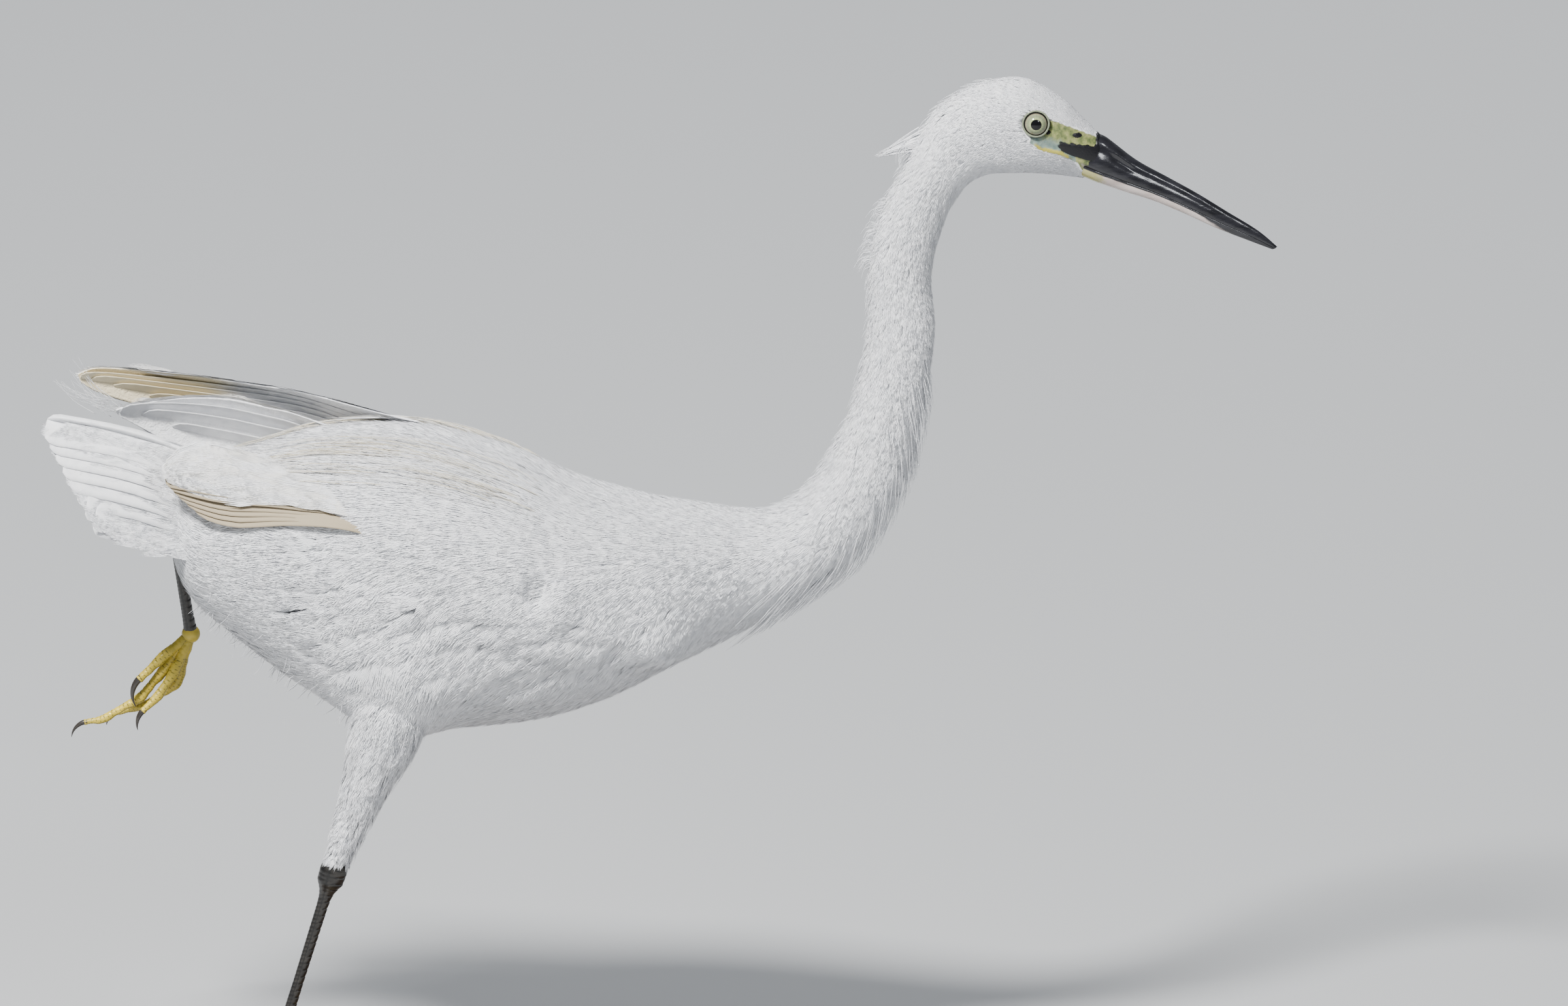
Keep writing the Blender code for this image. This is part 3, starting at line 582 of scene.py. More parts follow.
def clumped(points, b, clumps, seed):
    """For each root the sideways pull, the turn and the rise that its clump shares.

    Clumps are longer by their stretch along their grain.
    """
    if clumps.grain is not None:
        grain = unit(np.asarray(clumps.grain, float))
        points = points - np.outer(points @ grain, grain) * (1.0 - 1.0 / clumps.stretch)
    rng = np.random.default_rng(seed)
    centres = rng.choice(len(points), max(int(len(points) * clumps.share), 1), replace=False)
    tree = KDTree(len(centres))
    for i, index in enumerate(centres):
        tree.insert(points[index], i)
    tree.balance()
    nearest = centres[np.array([tree.find(point)[1] for point in points])]
    pull = (b[nearest] - b + math.pi) % TAU - math.pi
    turn = rng.normal(0.0, 1.0, len(points))[nearest]
    rise = rng.uniform(0.0, 1.0, len(points))[nearest]
    return pull * clumps.gather, turn * clumps.turn, rise * clumps.rise


LENGTH_SPREAD = (0.8, 1.15)
WIDTH_SPREAD = (0.85, 1.15)
# A small feather: its edges at the root in half widths, and where it is broad and its barbs part
ROOT_EDGES = (-0.3, 0.3)
SHOULDER = 0.33
SHOULDER_WIDTH = 0.85
SPLIT = 0.62
TIP_WIDTH = 0.9
TIP_ROUNDING = 0.22
LIFT_SPREAD = 0.12


def body_unwrap(a, b):
    """Where a place of the body lies on the flat bake map."""
    return np.stack([0.01 + 0.98 * a / HEAD_END, 0.01 + 0.98 * ((b / TAU + 0.5) % 1.0)], axis=1)


def feathers_on(coat, surface, a, b, lie, length, half_width, look, seed, clumps, tint=0.0,
                unwrap=body_unwrap, ruffle=1.0):
    """Small feathers, each a vane that ends in pointed barbs, rooted at places a and b.

    The lie is the angle from straight back, in radians towards growing b. Lengths and half
    widths are in millimetres, one for each feather.
    """
    rng = np.random.default_rng(seed)
    count = len(a)
    barbs = look.barbs
    _, _, run_a, run_b = surface_frame(surface, a, b, np.zeros(count))
    speed_a = np.maximum(np.linalg.norm(run_a, axis=1), 1e-6)
    speed_b = np.maximum(np.linalg.norm(run_b, axis=1), 1e-6)
    lie = lie + rng.normal(0.0, look.wander, count)
    pull, turn, rise = clumped(surface(a, b, np.zeros(count)), b, clumps, seed + 1)
    lie = lie + turn * ruffle
    step_a = -np.cos(lie) * length / speed_a
    step_b = np.sin(lie) * length / speed_b + pull * ruffle
    root_lift = look.root_lift(a) if callable(look.root_lift) else look.root_lift
    tip_lift = rng.normal(0.0, LIFT_SPREAD, count) * np.minimum(length * 0.1, 1.0)
    tip_lift = look.tip_lift + tip_lift
    tip_lift = tip_lift + rise * ruffle

    def row(share, sideways, drop):
        """One row of corners at a share of the length, sideways in half widths."""
        share = np.broadcast_to(share, sideways.shape)
        corners = []
        for k in range(sideways.shape[1]):
            part = share[:, k]
            lift = root_lift + (tip_lift - root_lift) * np.minimum(part, 1.2) ** 0.7
            here, normal, _, _ = surface_frame(surface, a + step_a * part, b + step_b * part, lift)
            ahead = surface(a + step_a * (part + 0.1), b + step_b * (part + 0.1), lift)
            side = unit(np.cross(normal, ahead - here))
            spread = sideways[:, k] * half_width
            sink = drop * spread * np.abs(sideways[:, k]) * look.camber
            corners.append(here + side * spread[:, None]
                           + normal * (np.abs(sink) * np.sign(half_width))[:, None])
        return np.stack(corners, axis=1)

    edges = np.linspace(-1.0, 1.0, barbs + 1)
    middles = (edges[1:] + edges[:-1]) / 2.0
    blank = np.zeros((count, 1))
    root = row(0.0, blank + np.array(ROOT_EDGES), 0.0)
    shoulder = row(SHOULDER, blank + edges * SHOULDER_WIDTH, 1.0)
    split = row(SPLIT, blank + edges, 1.0)
    reach = 1.0 - TIP_ROUNDING * middles ** 2
    reach = reach + rng.uniform(-look.splay, look.splay, (count, barbs)) * 0.5
    tips = row(reach, middles * TIP_WIDTH + rng.normal(0.0, look.splay, (count, barbs)), 0.6)
    points = np.concatenate([root, shoulder, split, tips], axis=1)

    faces = []
    first = 2
    second = first + barbs + 1
    third = second + barbs + 1
    half = (barbs + 1) // 2
    for k in range(barbs):
        faces.append((0 if k < half else 1, first + k + 1, first + k))
        faces.append((first + k, first + k + 1, second + k + 1))
        faces.append((first + k, second + k + 1, second + k))
        faces.append((second + k, second + k + 1, third + k))
    faces.append((0, 1, first + half))
    shares = np.concatenate([[0.0, 0.0], np.full(barbs + 1, SHOULDER), np.full(barbs + 1, SPLIT),
                             np.ones(barbs)])
    across = np.concatenate([ROOT_EDGES, edges, edges, middles])
    spot = np.stack([across * PATCH / 2.0, (shares - 0.5) * PATCH], axis=1)
    coat.add(points, np.array(faces, np.int32), unwrap(a, b)[:, None, :] + spot[None], tint,
             across[None] * np.reshape(half_width, (-1, 1)))


STRAND_ROWS = 9
STRAND_SIDES = 3
STRAND_FACING = (0.13, 0.97, 0.2)
STRAND_POINT = 0.03


def strands_on(coat, paths, radius, centres, tint):
    """Single barbs and bristles, three sided and pointed, along smooth paths.

    The paths are knots, strands and axes. The bake map has each strand as a patch at its centre.
    """
    knots, count = paths.shape[:2]
    share = np.linspace(0.0, 1.0, STRAND_ROWS)
    line = spline(paths, share * (knots - 1))
    along = unit(np.gradient(line, axis=0))
    first = unit(np.cross(along, STRAND_FACING))
    second = np.cross(along, first)
    turn = np.arange(STRAND_SIDES) * TAU / STRAND_SIDES
    thin = (1.0 - share ** 1.8)[:, None, None] * np.reshape(radius, (1, -1, 1)) + STRAND_POINT
    rings = (line[:, :, None] + (first[:, :, None] * np.cos(turn)[:, None]
                                 + second[:, :, None] * np.sin(turn)[:, None]) * thin[..., None])
    points = rings.transpose(1, 0, 2, 3).reshape(count, -1, 3)
    last = (STRAND_ROWS - 1) * STRAND_SIDES
    caps = np.array([[2, 1, 0], [last, last + 1, last + 2]])
    faces = np.concatenate([tube_faces(STRAND_ROWS, STRAND_SIDES), caps]).astype(np.int32)
    spot = np.stack([np.tile(np.arange(STRAND_SIDES) / STRAND_SIDES - 0.5, STRAND_ROWS),
                     np.repeat(share - 0.5, STRAND_SIDES)], axis=1) * PATCH
    coat.add(points, faces, centres[:, None, :] + spot[None], tint, 0.0)


PROBES = 25


def scatter(surface, a_range, b_range, spacing, seed, closed=False):
    """Rooting places spread evenly in jittered rows, with spacing (along, across) by place."""
    rng = np.random.default_rng(seed)
    places = []
    angles = []
    a = a_range[0]
    row = 0
    while a < a_range[1]:
        probe = np.linspace(b_range[0], b_range[1], PROBES)
        here, _, run_a, _ = surface_frame(surface, np.full(PROBES, a), probe, np.zeros(PROBES))
        length = np.linalg.norm(np.diff(here, axis=0), axis=1)
        along, across = spacing(a)
        count = max(int(length.sum() / across), 1)
        reach = np.concatenate([[0.0], np.cumsum(length)])
        marks = (np.arange(count) + 0.5 * (row % 2) + rng.uniform(-0.4, 0.4, count)) / count
        marks = marks % 1.0 if closed else np.clip(marks, 0.0, 1.0)
        angles.append(np.interp(marks * reach[-1], reach, probe))
        step = along / np.linalg.norm(run_a, axis=1).mean()
        places.append(a + rng.uniform(-0.5, 0.5, count) * step)
        a += step
        row += 1
    return np.clip(np.concatenate(places), *a_range), np.concatenate(angles)


# Face. Heights on the side of the head are read as the photograph shows them, lowered by the
# camera's tilt: sideways distance brings a place down by this much.
SIDE_DROP = math.tan(CAMERA_ELEVATION)
LORE_TOP = ([236.0, 240.0, 246.0, 252.0, 260.4, 266.0], [421.5, 422.0, 428.5, 426.2, 423.1, 421.0])
MOUTH = ([236.0, 238.4, 242.7, 250.0, 256.6, 263.4], [419.6, 418.6, 415.8, 414.4, 411.0, 408.4])
BLACK_TOP = ([250.0, 264.0, 268.0], [418.8, 417.6, 421.0])
LORE_REAR = 237.6
BLACK_REAR = 249.0
BLACK_MIDDLE = 417.2
HORN_START = 265.0
CHIN_SKIN = 256.4
SPOTS = ((257.0, 421.9, 1.6, 0.8, 1.3), (244.9, 422.9, 1.2, 0.7, 1.3))
EYE = {side: np.array([239.8, side * 8.1, 429.9]) for side in SIDES.values()}
EYE_RADIUS = 6.6
LID_OPENING = 5.05
LID_SKIN = 0.4
FAR = 99.0


def face_fields(points):
    """Distances in millimetres inside each bare part of the face, negative outside it."""
    x = points[:, 0]
    height = points[:, 2] - SIDE_DROP * np.abs(points[:, 1])
    top = np.interp(x, *LORE_TOP)
    mouth = np.interp(x, *MOUTH)
    bare = np.minimum(np.minimum(top - height, height - mouth + 0.9), x - LORE_REAR)
    chin = np.minimum(mouth - height + 0.5, x - CHIN_SKIN - 0.95 * (mouth - height))
    black = np.minimum(np.interp(x, *BLACK_TOP) - height, height - mouth + 0.3)
    black = np.minimum(black, x - BLACK_REAR - 0.3 * (height - BLACK_MIDDLE) ** 2)
    for at, up, size, along, across in SPOTS:
        black = np.maximum(black, size - np.hypot((x - at) * along, (height - up) * across))
    horn = np.minimum(2.0 * (x - HORN_START), height - mouth + 0.3)
    black = np.maximum(black, horn)
    gape = 1.0 - np.abs(height - mouth + 0.2) - smooth_step(252.0, 258.0, x) * 1.5
    gape = np.minimum(gape, x - LORE_REAR - 1.5)
    eye = np.full(len(points), FAR)
    for side, centre in EYE.items():
        away = np.hypot(x - centre[0], points[:, 2] - centre[2])
        eye = np.where(points[:, 1] * side > 0.0, np.minimum(eye, away), eye)
    low = mouth + 4.0 - height - 9.0 * smooth_step(255.0, 258.0, x)
    return {"bare": np.maximum(bare, chin), "black": black, "gape": gape, "chin": chin,
            "low": low, "eye": eye}


def face_relief(points, fields):
    """How far the head's skin is pushed in or out to shape the face."""
    groove = -0.7 * smooth_step(0.0, 2.0, fields["bare"])
    lip = 0.75 * smooth_step(-0.2, 0.9, fields["gape"])
    edge = 0.5 * smooth_step(0.0, 1.2, fields["black"])
    socket = -1.3 * smooth_step(7.6, 4.9, fields["eye"])
    brow = 0.35 * np.exp(-((fields["eye"] - 8.5) / 1.4) ** 2)
    brow = brow * smooth_step(0.0, 3.0, points[:, 2] - EYE[1.0][2])
    return groove + lip + edge + socket + brow


def skin_material():
    """Pale skin under the feathers, with the bare yellow-green lores and black mouth base."""
    made, tree, shader = node_material("skin")
    pale = ramp(tree, noise_node(tree, 300.0), (0.35, (0.76, 0.77, 0.79)),
                (0.65, (0.84, 0.84, 0.85)))
    green = ramp(tree, noise_node(tree, 420.0), (0.32, (0.08, 0.11, 0.045)),
                 (0.5, (0.20, 0.23, 0.08)), (0.7, (0.34, 0.34, 0.14)))
    blue = ramp(tree, noise_node(tree, 500.0), (0.3, (0.12, 0.18, 0.165)),
                (0.7, (0.25, 0.31, 0.26)))
    lore = blend_colours(tree, field_mask(tree, "low", -2.5, 1.2, 0.8), green, blue)
    colour = pale
    for field, low, high, rough, shade in (
            ("bare", -0.3, 0.3, 0.3, lore), ("chin", 0.5, 2.2, 0.4, (0.52, 0.46, 0.36)),
            ("gape", -0.1, 0.7, 0.4, (0.38, 0.34, 0.06)),
            ("black", -0.2, 0.35, 0.5, (0.007, 0.007, 0.009))):
        colour = blend_colours(tree, field_mask(tree, field, low, high, rough), colour, shade)
    dress_shader(tree, shader, colour, (noise_node(tree, 1500.0, 6.0), 0.45, 0.0003),
                 Roughness=0.36, Specular_IOR_Level=0.4)
    return made


# Eyes
PUPIL = 2.25
IRIS = 4.5
EYE_AXIS_TILT = (0.04, 1.0, 0.07)
EYE_ROWS = 44
EYE_SIDES = 96
CORNEA = 0.55
EYE_BLACK = (0.004, 0.004, 0.005)
LID_SEGMENTS = 72
LID_PROFILE = 12
POLE_TURN = 0.02
RING_SCALE = 6.0


def sphere_rings(centre, radius, axis, rows, sides):
    """Rings of a ball round an axis, from one pole to the other."""
    out = circle(axis, full_turn(sides))
    return np.array([centre + (axis * math.cos(turn) + out * math.sin(turn)) * radius
                     for turn in np.linspace(POLE_TURN, math.pi - POLE_TURN, rows)])


def eye_material():
    """A wet eye: black pupil, pale iris with faint streaks, and a dark rim."""
    made, tree, shader = node_material("eye")
    pupil = PUPIL / RING_SCALE
    rim = IRIS / RING_SCALE
    iris = ramp(tree, calculate(tree, "DIVIDE", stored(tree, "ring"), RING_SCALE),
                (0.0, EYE_BLACK), (pupil - 0.012, EYE_BLACK),
                (pupil + 0.012, (0.34, 0.39, 0.20)), (0.46, (0.32, 0.36, 0.19)),
                (0.56, (0.20, 0.24, 0.14)), (rim - 0.06, (0.25, 0.25, 0.16)),
                (rim - 0.02, (0.19, 0.17, 0.11)), (rim + 0.005, (0.006, 0.006, 0.006)))
    streaks = ramp(tree, field_mask(tree, "streak", 0.0, 1.0), (0.0, (0.6, 0.6, 0.6)),
                   (1.0, (1.0, 1.0, 1.0)))
    dress_shader(tree, shader, blend_colours(tree, 0.35, iris, streaks, "MULTIPLY"),
                 Roughness=0.08, Specular_IOR_Level=0.4)
    return made


def make_eye(word, material, lid_material):
    """An eyeball with a bulging cornea, and the ring of its lids."""
    side = SIDES[word]
    centre = EYE[side]
    axis = unit(np.array([EYE_AXIS_TILT[0], EYE_AXIS_TILT[1] * side, EYE_AXIS_TILT[2]]))
    rings = sphere_rings(centre, EYE_RADIUS, axis, EYE_ROWS, EYE_SIDES)
    turn = np.linspace(POLE_TURN, math.pi - POLE_TURN, EYE_ROWS)
    ring = np.repeat(np.sin(np.minimum(turn, math.pi / 2.0)) * EYE_RADIUS
                     + np.maximum(turn - math.pi / 2.0, 0.0), EYE_SIDES)
    streak = np.tile(np.random.default_rng(SEED).uniform(0.0, 1.0, EYE_SIDES), EYE_ROWS)
    bulge = CORNEA * smooth_step(IRIS + 0.4, 1.5, ring).reshape(EYE_ROWS, EYE_SIDES, 1)
    eye = grid_mesh("eyeball_" + word, rings + axis * bulge, ring=ring, streak=streak)
    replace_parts(finish_piece(eye, material), "eye_" + word)

    around = full_turn(LID_SEGMENTS)
    out = circle(axis, around)
    reach = math.sqrt(EYE_RADIUS ** 2 - LID_OPENING ** 2)
    wave = 1.0 + 0.06 * np.sin(around * 9.0) * np.sin(around * 4.0 + 1.0)
    middle = centre + axis * (reach + 0.15) + out * (LID_OPENING + 0.35)
    rings = [middle + out * (LID_SKIN * wave * math.cos(t))[:, None]
             + axis * (LID_SKIN * 0.8 * math.sin(t)) for t in full_turn(LID_PROFILE)]
    lids = grid_mesh("lids_" + word, np.array([*rings, rings[0]]), False)
    finish_piece(lids, lid_material)


# Bill, from the feathering to the tip: ridge, line between the mandibles, keel and half width
BILL = [
    (254.0, 428.5, 251.0, 413.5, 250.5, 405.5, 8.0),
    (267.0, 422.5, 264.6, 408.6, 263.5, 402.8, 6.8),
    (281.6, 411.3, 277.8, 403.2, 275.6, 398.4, 5.0),
    (294.6, 403.9, 291.0, 397.8, 288.4, 394.2, 3.9),
    (307.1, 396.8, 303.8, 391.6, 301.2, 388.7, 3.1),
    (319.6, 388.9, 316.6, 385.0, 314.2, 382.5, 2.4),
    (332.1, 381.0, 329.9, 378.6, 328.0, 376.9, 1.5),
    (340.2, 374.0, 339.4, 373.3, 338.2, 372.9, 0.4),
]
BILL_RINGS = 90
BILL_TIP_RINGS = 14
BILL_TIP_START = 6.6
BILL_END = 7.0
BILL_ARCH = 28
BILL_GAP = 0.12
BILL_ROOT = 0.25
BILL_ROOT_SHARE = (0.72, 1.0)
NOSTRIL = (1.42, 2.0)
GROOVE_HEIGHT = 0.60
PALE_RANGE = (318.0, 296.0)
ROOT_RANGE = (274.0, 263.0)


def bill_half(name, upper):
    """One mandible. Its sides are rounded, the upper one with a groove that holds the nostril."""
    place = np.concatenate([np.linspace(BILL_ROOT, BILL_TIP_START, BILL_RINGS - BILL_TIP_RINGS,
                                        endpoint=False),
                            np.linspace(BILL_TIP_START, BILL_END, BILL_TIP_RINGS)])
    section = spline(BILL, place)
    mouth = np.stack([section[:, 2], 0.0 * place, section[:, 3]], axis=1)
    edge = 0 if upper else 4
    far = np.stack([section[:, edge], 0.0 * place, section[:, edge + 1]], axis=1)
    span = far - mouth
    start = mouth + unit(span) * BILL_GAP / 2.0
    turn = np.linspace(0.0, math.pi, BILL_ARCH)
    swell = np.abs(np.cos(turn)) ** 0.75 * np.sign(np.cos(turn))
    lift = np.sin(turn) ** (1.15 if upper else 0.9)
    rings = start[:, None] + span[:, None] * lift[None, :, None]
    sunk = mix(BILL_ROOT_SHARE, smooth_step(BILL_ROOT, 1.2, place))
    rings = mouth[:, None] + (rings - mouth[:, None]) * sunk[:, None, None]
    breadth = (section[:, 6] * sunk)[:, None] * swell[None]
    if upper:
        groove = 0.13 * np.exp(-((lift - GROOVE_HEIGHT) / 0.13) ** 2)[None]
        groove = groove * smooth_step(5.6, 3.6, place)[:, None]
        slot = np.exp(-((lift - GROOVE_HEIGHT) / 0.07) ** 2)[None]
        slot = slot * (smooth_step(NOSTRIL[0] - 0.1, NOSTRIL[0] + 0.08, place)
                       * smooth_step(NOSTRIL[1] + 0.1, NOSTRIL[1] - 0.15, place))[:, None]
        breadth = breadth * (1.0 - groove - 0.22 * slot)
    rings[:, :, 1] += breadth
    ripples = ripple(rings.reshape(-1, 3), 5.0, SEED).reshape(breadth.shape)
    rings[:, :, 1] *= 1.0 + 0.012 * ripples
    across = np.broadcast_to(lift[None], breadth.shape).ravel()
    x = rings[:, :, 0].ravel()
    pale = np.zeros(len(x))
    if not upper:
        pale = smooth_step(*PALE_RANGE, x - 14.0 * across) * smooth_step(0.10, 0.30, across)
    return grid_mesh(name, rings, pale=pale, root=smooth_step(*ROOT_RANGE, x))


def bill_material():
    """Glossy black horn, the lower base pinkish white and yellow against the feathers."""
    made, tree, shader = node_material("bill")
    black = ramp(tree, noise_node(tree, 300.0, 6.0, (0.25, 1.0, 1.0)),
                 (0.35, (0.006, 0.006, 0.008)), (0.7, (0.018, 0.018, 0.023)))
    pink = ramp(tree, noise_node(tree, 260.0, 5.0, (0.3, 1.0, 1.0)),
                (0.3, (0.40, 0.33, 0.30)), (0.65, (0.58, 0.51, 0.48)))
    pink = blend_colours(tree, field_mask(tree, "root", 0.25, 0.95, 0.2), pink, (0.36, 0.34, 0.14))
    colour = blend_colours(tree, field_mask(tree, "pale", 0.3, 0.7, 0.15, 220.0), black, pink)
    streaks = noise_node(tree, 700.0, 6.0, (0.12, 1.0, 1.0))
    dress_shader(tree, shader, colour, (streaks, 0.35, 0.00025), Roughness=0.2, Coat_Weight=0.35,
                 Coat_Roughness=0.08)
    return made


def make_bill(material):
    upper = finish_piece(bill_half("bill_upper_horn", True), material)
    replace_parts(upper, "bill_upper")
    lower = finish_piece(bill_half("bill_lower_horn", False), material)
    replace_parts(lower, "bill_lower")


# Shanks and toes, with raised scutes
LimbLook = namedtuple("LimbLook", "pitch height sides")
SHANK_LOOK = LimbLook(3.1, 0.22, 40)
TOE_LOOK = LimbLook(1.9, 0.16, 28)
CLAW_LOOK = LimbLook(99.0, 0.01, 20)
LIMB_STEP = 0.35
SCUTE_EDGE = 0.86
SMALL_SCALES = 5.0
SMALL_ROWS = 1.7
CLAW_STEP = 0.4
PAD_PITCH = 5.5


def limb_rings(path, radii, look, front, step=LIMB_STEP, under=0.0):
    """A round limb along a smooth path, its front ringed with overlapping scutes."""
    path = np.array(path)
    places = np.arange(len(path), dtype=float)
    dense = np.linspace(0.0, len(path) - 1.0, 400)
    trail = spline(path, dense)
    reach = travelled(trail)
    count = max(int(reach[-1] / step), 8)
    marks = np.interp(np.linspace(0.0, reach[-1], count), reach, dense)
    centre = spline(path, marks)
    radius = np.interp(marks, places, radii)
    along = unit(np.gradient(centre, axis=0))
    front = np.asarray(front, float)
    ahead = unit(front - along * (along @ front)[:, None])
    side = np.cross(along, ahead)
    turn = full_turn(look.sides)
    length = np.linspace(0.0, reach[-1], count)
    facing = smooth_step(-0.2, 0.5, np.cos(turn))[None]
    phase = (length[:, None] + 0.5 * np.cos(turn)[None]) / look.pitch
    plate = 1.0 - (phase % 1.0) ** 3 * 0.9 - smooth_step(SCUTE_EDGE, 1.0, phase % 1.0)
    small = np.sin(turn[None] * SMALL_SCALES + math.pi * np.floor(phase * SMALL_ROWS))
    small = np.abs(small) ** 0.6 * np.abs(np.sin(phase * SMALL_ROWS * math.pi)) ** 0.6
    relief = look.height * (plate * facing + 0.7 * small * (1.0 - facing))
    pads = under * smooth_step(0.2, 0.9, -np.cos(turn))[None]
    pads = pads * (0.5 + 0.5 * np.sin(length[:, None] * TAU / PAD_PITCH))
    thickness = radius[:, None] + relief - look.height * 0.6 + pads
    rings = (centre[:, None] + (ahead[:, None] * np.cos(turn)[None, :, None]
                                + side[:, None] * np.sin(turn)[None, :, None])
             * thickness[..., None])
    return rings, relief.ravel() / look.height


def scaly_material(name, dark, light, roughness):
    """Horny skin, darker in the seams between its scutes."""
    made, tree, shader = node_material(name)
    seams = ramp(tree, noise_node(tree, 240.0, 6.0), (0.3, dark), (0.7, light))
    deep = tuple(channel * 0.45 for channel in dark)
    colour = blend_colours(tree, field_mask(tree, "relief", 0.05, 0.6, 0.1), deep, seams)
    dress_shader(tree, shader, colour, (noise_node(tree, 1400.0, 6.0), 0.35, 0.0002),
                 Roughness=roughness, Coat_Weight=0.12)
    return made


HEEL_SWELL = {"right": 1.0, "left": 0.8}


def make_tarsus(word, material):
    """Bare end of the tibia, heel and shank as one limb, swollen at the heel."""
    heel = HEEL[word]
    up = unit(THIGH_TOP[word] - heel)
    down = -TARSUS_AXIS[word]
    top = heel + up * (BARE_TIBIA[word] + 1.5)
    foot = ANKLE[word] - down * 1.0
    path = [top, heel + up * 5.5, heel + up * 1.5 + down * 1.0, heel + down * 4.5,
            heel + down * 9.0, heel + down * 16.0, heel + down * 50.0, foot - down * 9.0, foot]
    knob = HEEL_SWELL[word]
    radii = [3.8, 4.6 * knob, 5.8 * knob, 5.5 * knob, 3.3, 2.45, 2.2, 2.45, 3.0]
    rings, relief = limb_rings(path, radii, SHANK_LOOK, (1.0, 0.0, 0.1))
    piece = grid_mesh("shank_" + word, rings, relief=relief)
    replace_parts(finish_piece(piece, material), "tarsus_" + word)


TOE_RADIUS = 2.2
HUB_RADIUS = 3.9
HUB_ROWS = 24
HUB_SIDES = 36
CLAW_STEPS = 8
CLAW_SUNK = 1.2
BASE_HEIGHT = 18.0
GROUND = BASE_HEIGHT + 0.3
SOLE = GROUND + 0.1
ToePlan = namedtuple("ToePlan", "name lengths yaw pitches claw curl")
RIGHT_TOES = [
    ToePlan("middle", (22.0, 21.0, 17.0), -4.0, (0, 0, 0), 9.0, 16.0),
    ToePlan("outer", (18.0, 18.0, 15.0), -34.0, (0, 0, 0), 8.0, 16.0),
    ToePlan("inner", (20.0, 15.0, 11.0), 27.0, (0, 0, 0), 8.5, 16.0),
    ToePlan("hallux", (14.0, 13.0), 172.0, (0, 0), 13.0, 20.0),
]
LEFT_TOES = [
    ToePlan("middle", (20.0, 15.0, 18.0, 8.0), 181.0, (-54, -50, -31, -10), 9.0, 20.0),
    ToePlan("outer", (22.0, 17.0, 13.0), 170.0, (-74, -40, -16), 8.0, 18.0),
    ToePlan("inner", (18.0, 12.0, 9.0), 203.0, (-64, -52, -40), 8.5, 18.0),
    ToePlan("hallux", (15.0, 14.0), 192.0, (-38, -42), 13.0, 22.0),
]


def heading(yaw, pitch):
    yaw = math.radians(yaw)
    pitch = math.radians(pitch)
    return np.array([math.cos(pitch) * math.cos(yaw), math.cos(pitch) * math.sin(yaw),
                     math.sin(pitch)])


def toe_route(hub, plan, on_ground):
    """Joints of a toe with the radius at each and at the middles of its bones."""
    path = [hub]
    radii = [TOE_RADIUS * 1.1]
    bones = len(plan.lengths)
    for i, (length, pitch) in enumerate(zip(plan.lengths, plan.pitches)):
        start = path[-1]
        end = start + heading(plan.yaw, pitch) * length
        slender = 1.0 - 0.11 * (i + 1)
        joint_radius = TOE_RADIUS * slender * (1.18 if i + 1 < bones else 0.9)
        middle_radius = TOE_RADIUS * slender * 0.94
        middle = (start + end) / 2.0
        if on_ground:
            end[2] = SOLE + joint_radius
            middle[2] = SOLE + middle_radius if i else (start[2] + end[2]) / 2.0
        path += [middle, end]
        radii += [middle_radius, joint_radius]
    return path, radii


def claw_route(plan, tip, ahead, radius, on_ground):
    """A claw's curve from its toe's end, thinning to its point."""
    point = tip - ahead * CLAW_SUNK
    path = [point]
    pitch = math.degrees(math.asin(ahead[2])) + (10.0 if on_ground else 0.0)
    for _ in range(CLAW_STEPS):
        point = point + heading(plan.yaw, pitch) * (plan.claw + CLAW_SUNK) / CLAW_STEPS
        pitch -= plan.curl / 2.0
        path.append(point)
    radii = [radius * 0.95 * (1.0 - (i / CLAW_STEPS) ** 1.4) + 0.08 for i in range(CLAW_STEPS + 1)]
    if on_ground:
        for i, point in enumerate(path):
            point[2] = max(point[2], SOLE + radii[i])
    return path, radii


def make_foot(word, plans, foot_material, claw_material):
    """Toes joined on the ball of the foot, and a claw on each."""
    hub = ANKLE[word]
    on_ground = word == "right"
    toes = []
    for plan in plans:
        path, radii = toe_route(hub, plan, on_ground)
        upward = (0.0, 0.0, 1.0) if on_ground else heading(plan.yaw, 35.0)
        under = 0.0 if on_ground else 0.25
        toes.append(limb_rings(path, radii, TOE_LOOK, upward, under=under))
        ahead = unit(path[-1] - path[-2])
        route = claw_route(plan, path[-1], ahead, radii[-1], on_ground)
        rings, relief = limb_rings(*route, CLAW_LOOK, upward, CLAW_STEP)
        claw = grid_mesh(f"nail_{word}_{plan.name}", rings, relief=relief)
        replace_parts(finish_piece(claw, claw_material), f"claw_{word}_{plan.name}")
    ball = sphere_rings(hub, HUB_RADIUS, np.array([0.0, 0.0, 1.0]), HUB_ROWS, HUB_SIDES)
    toes.append((ball, np.full(HUB_ROWS * HUB_SIDES, 0.8)))
    parts = [grid_mesh("toe", rings, relief=relief) for rings, relief in toes]
    foot = join_flesh(parts[-1], parts[:-1])
    foot.name = "toes_" + word
    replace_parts(finish_piece(foot, foot_material), "foot_" + word)


# Long vanes
VANE_COLUMNS = 6
VANE_ROWS = 22
VANE_SHARE = np.linspace(0.0, 1.0, VANE_ROWS)
VANE_THICKNESS = 0.25
VANE_SWEEP = 0.35
VANE_ROOT = 0.45
SHAFT_HEIGHT = 0.28


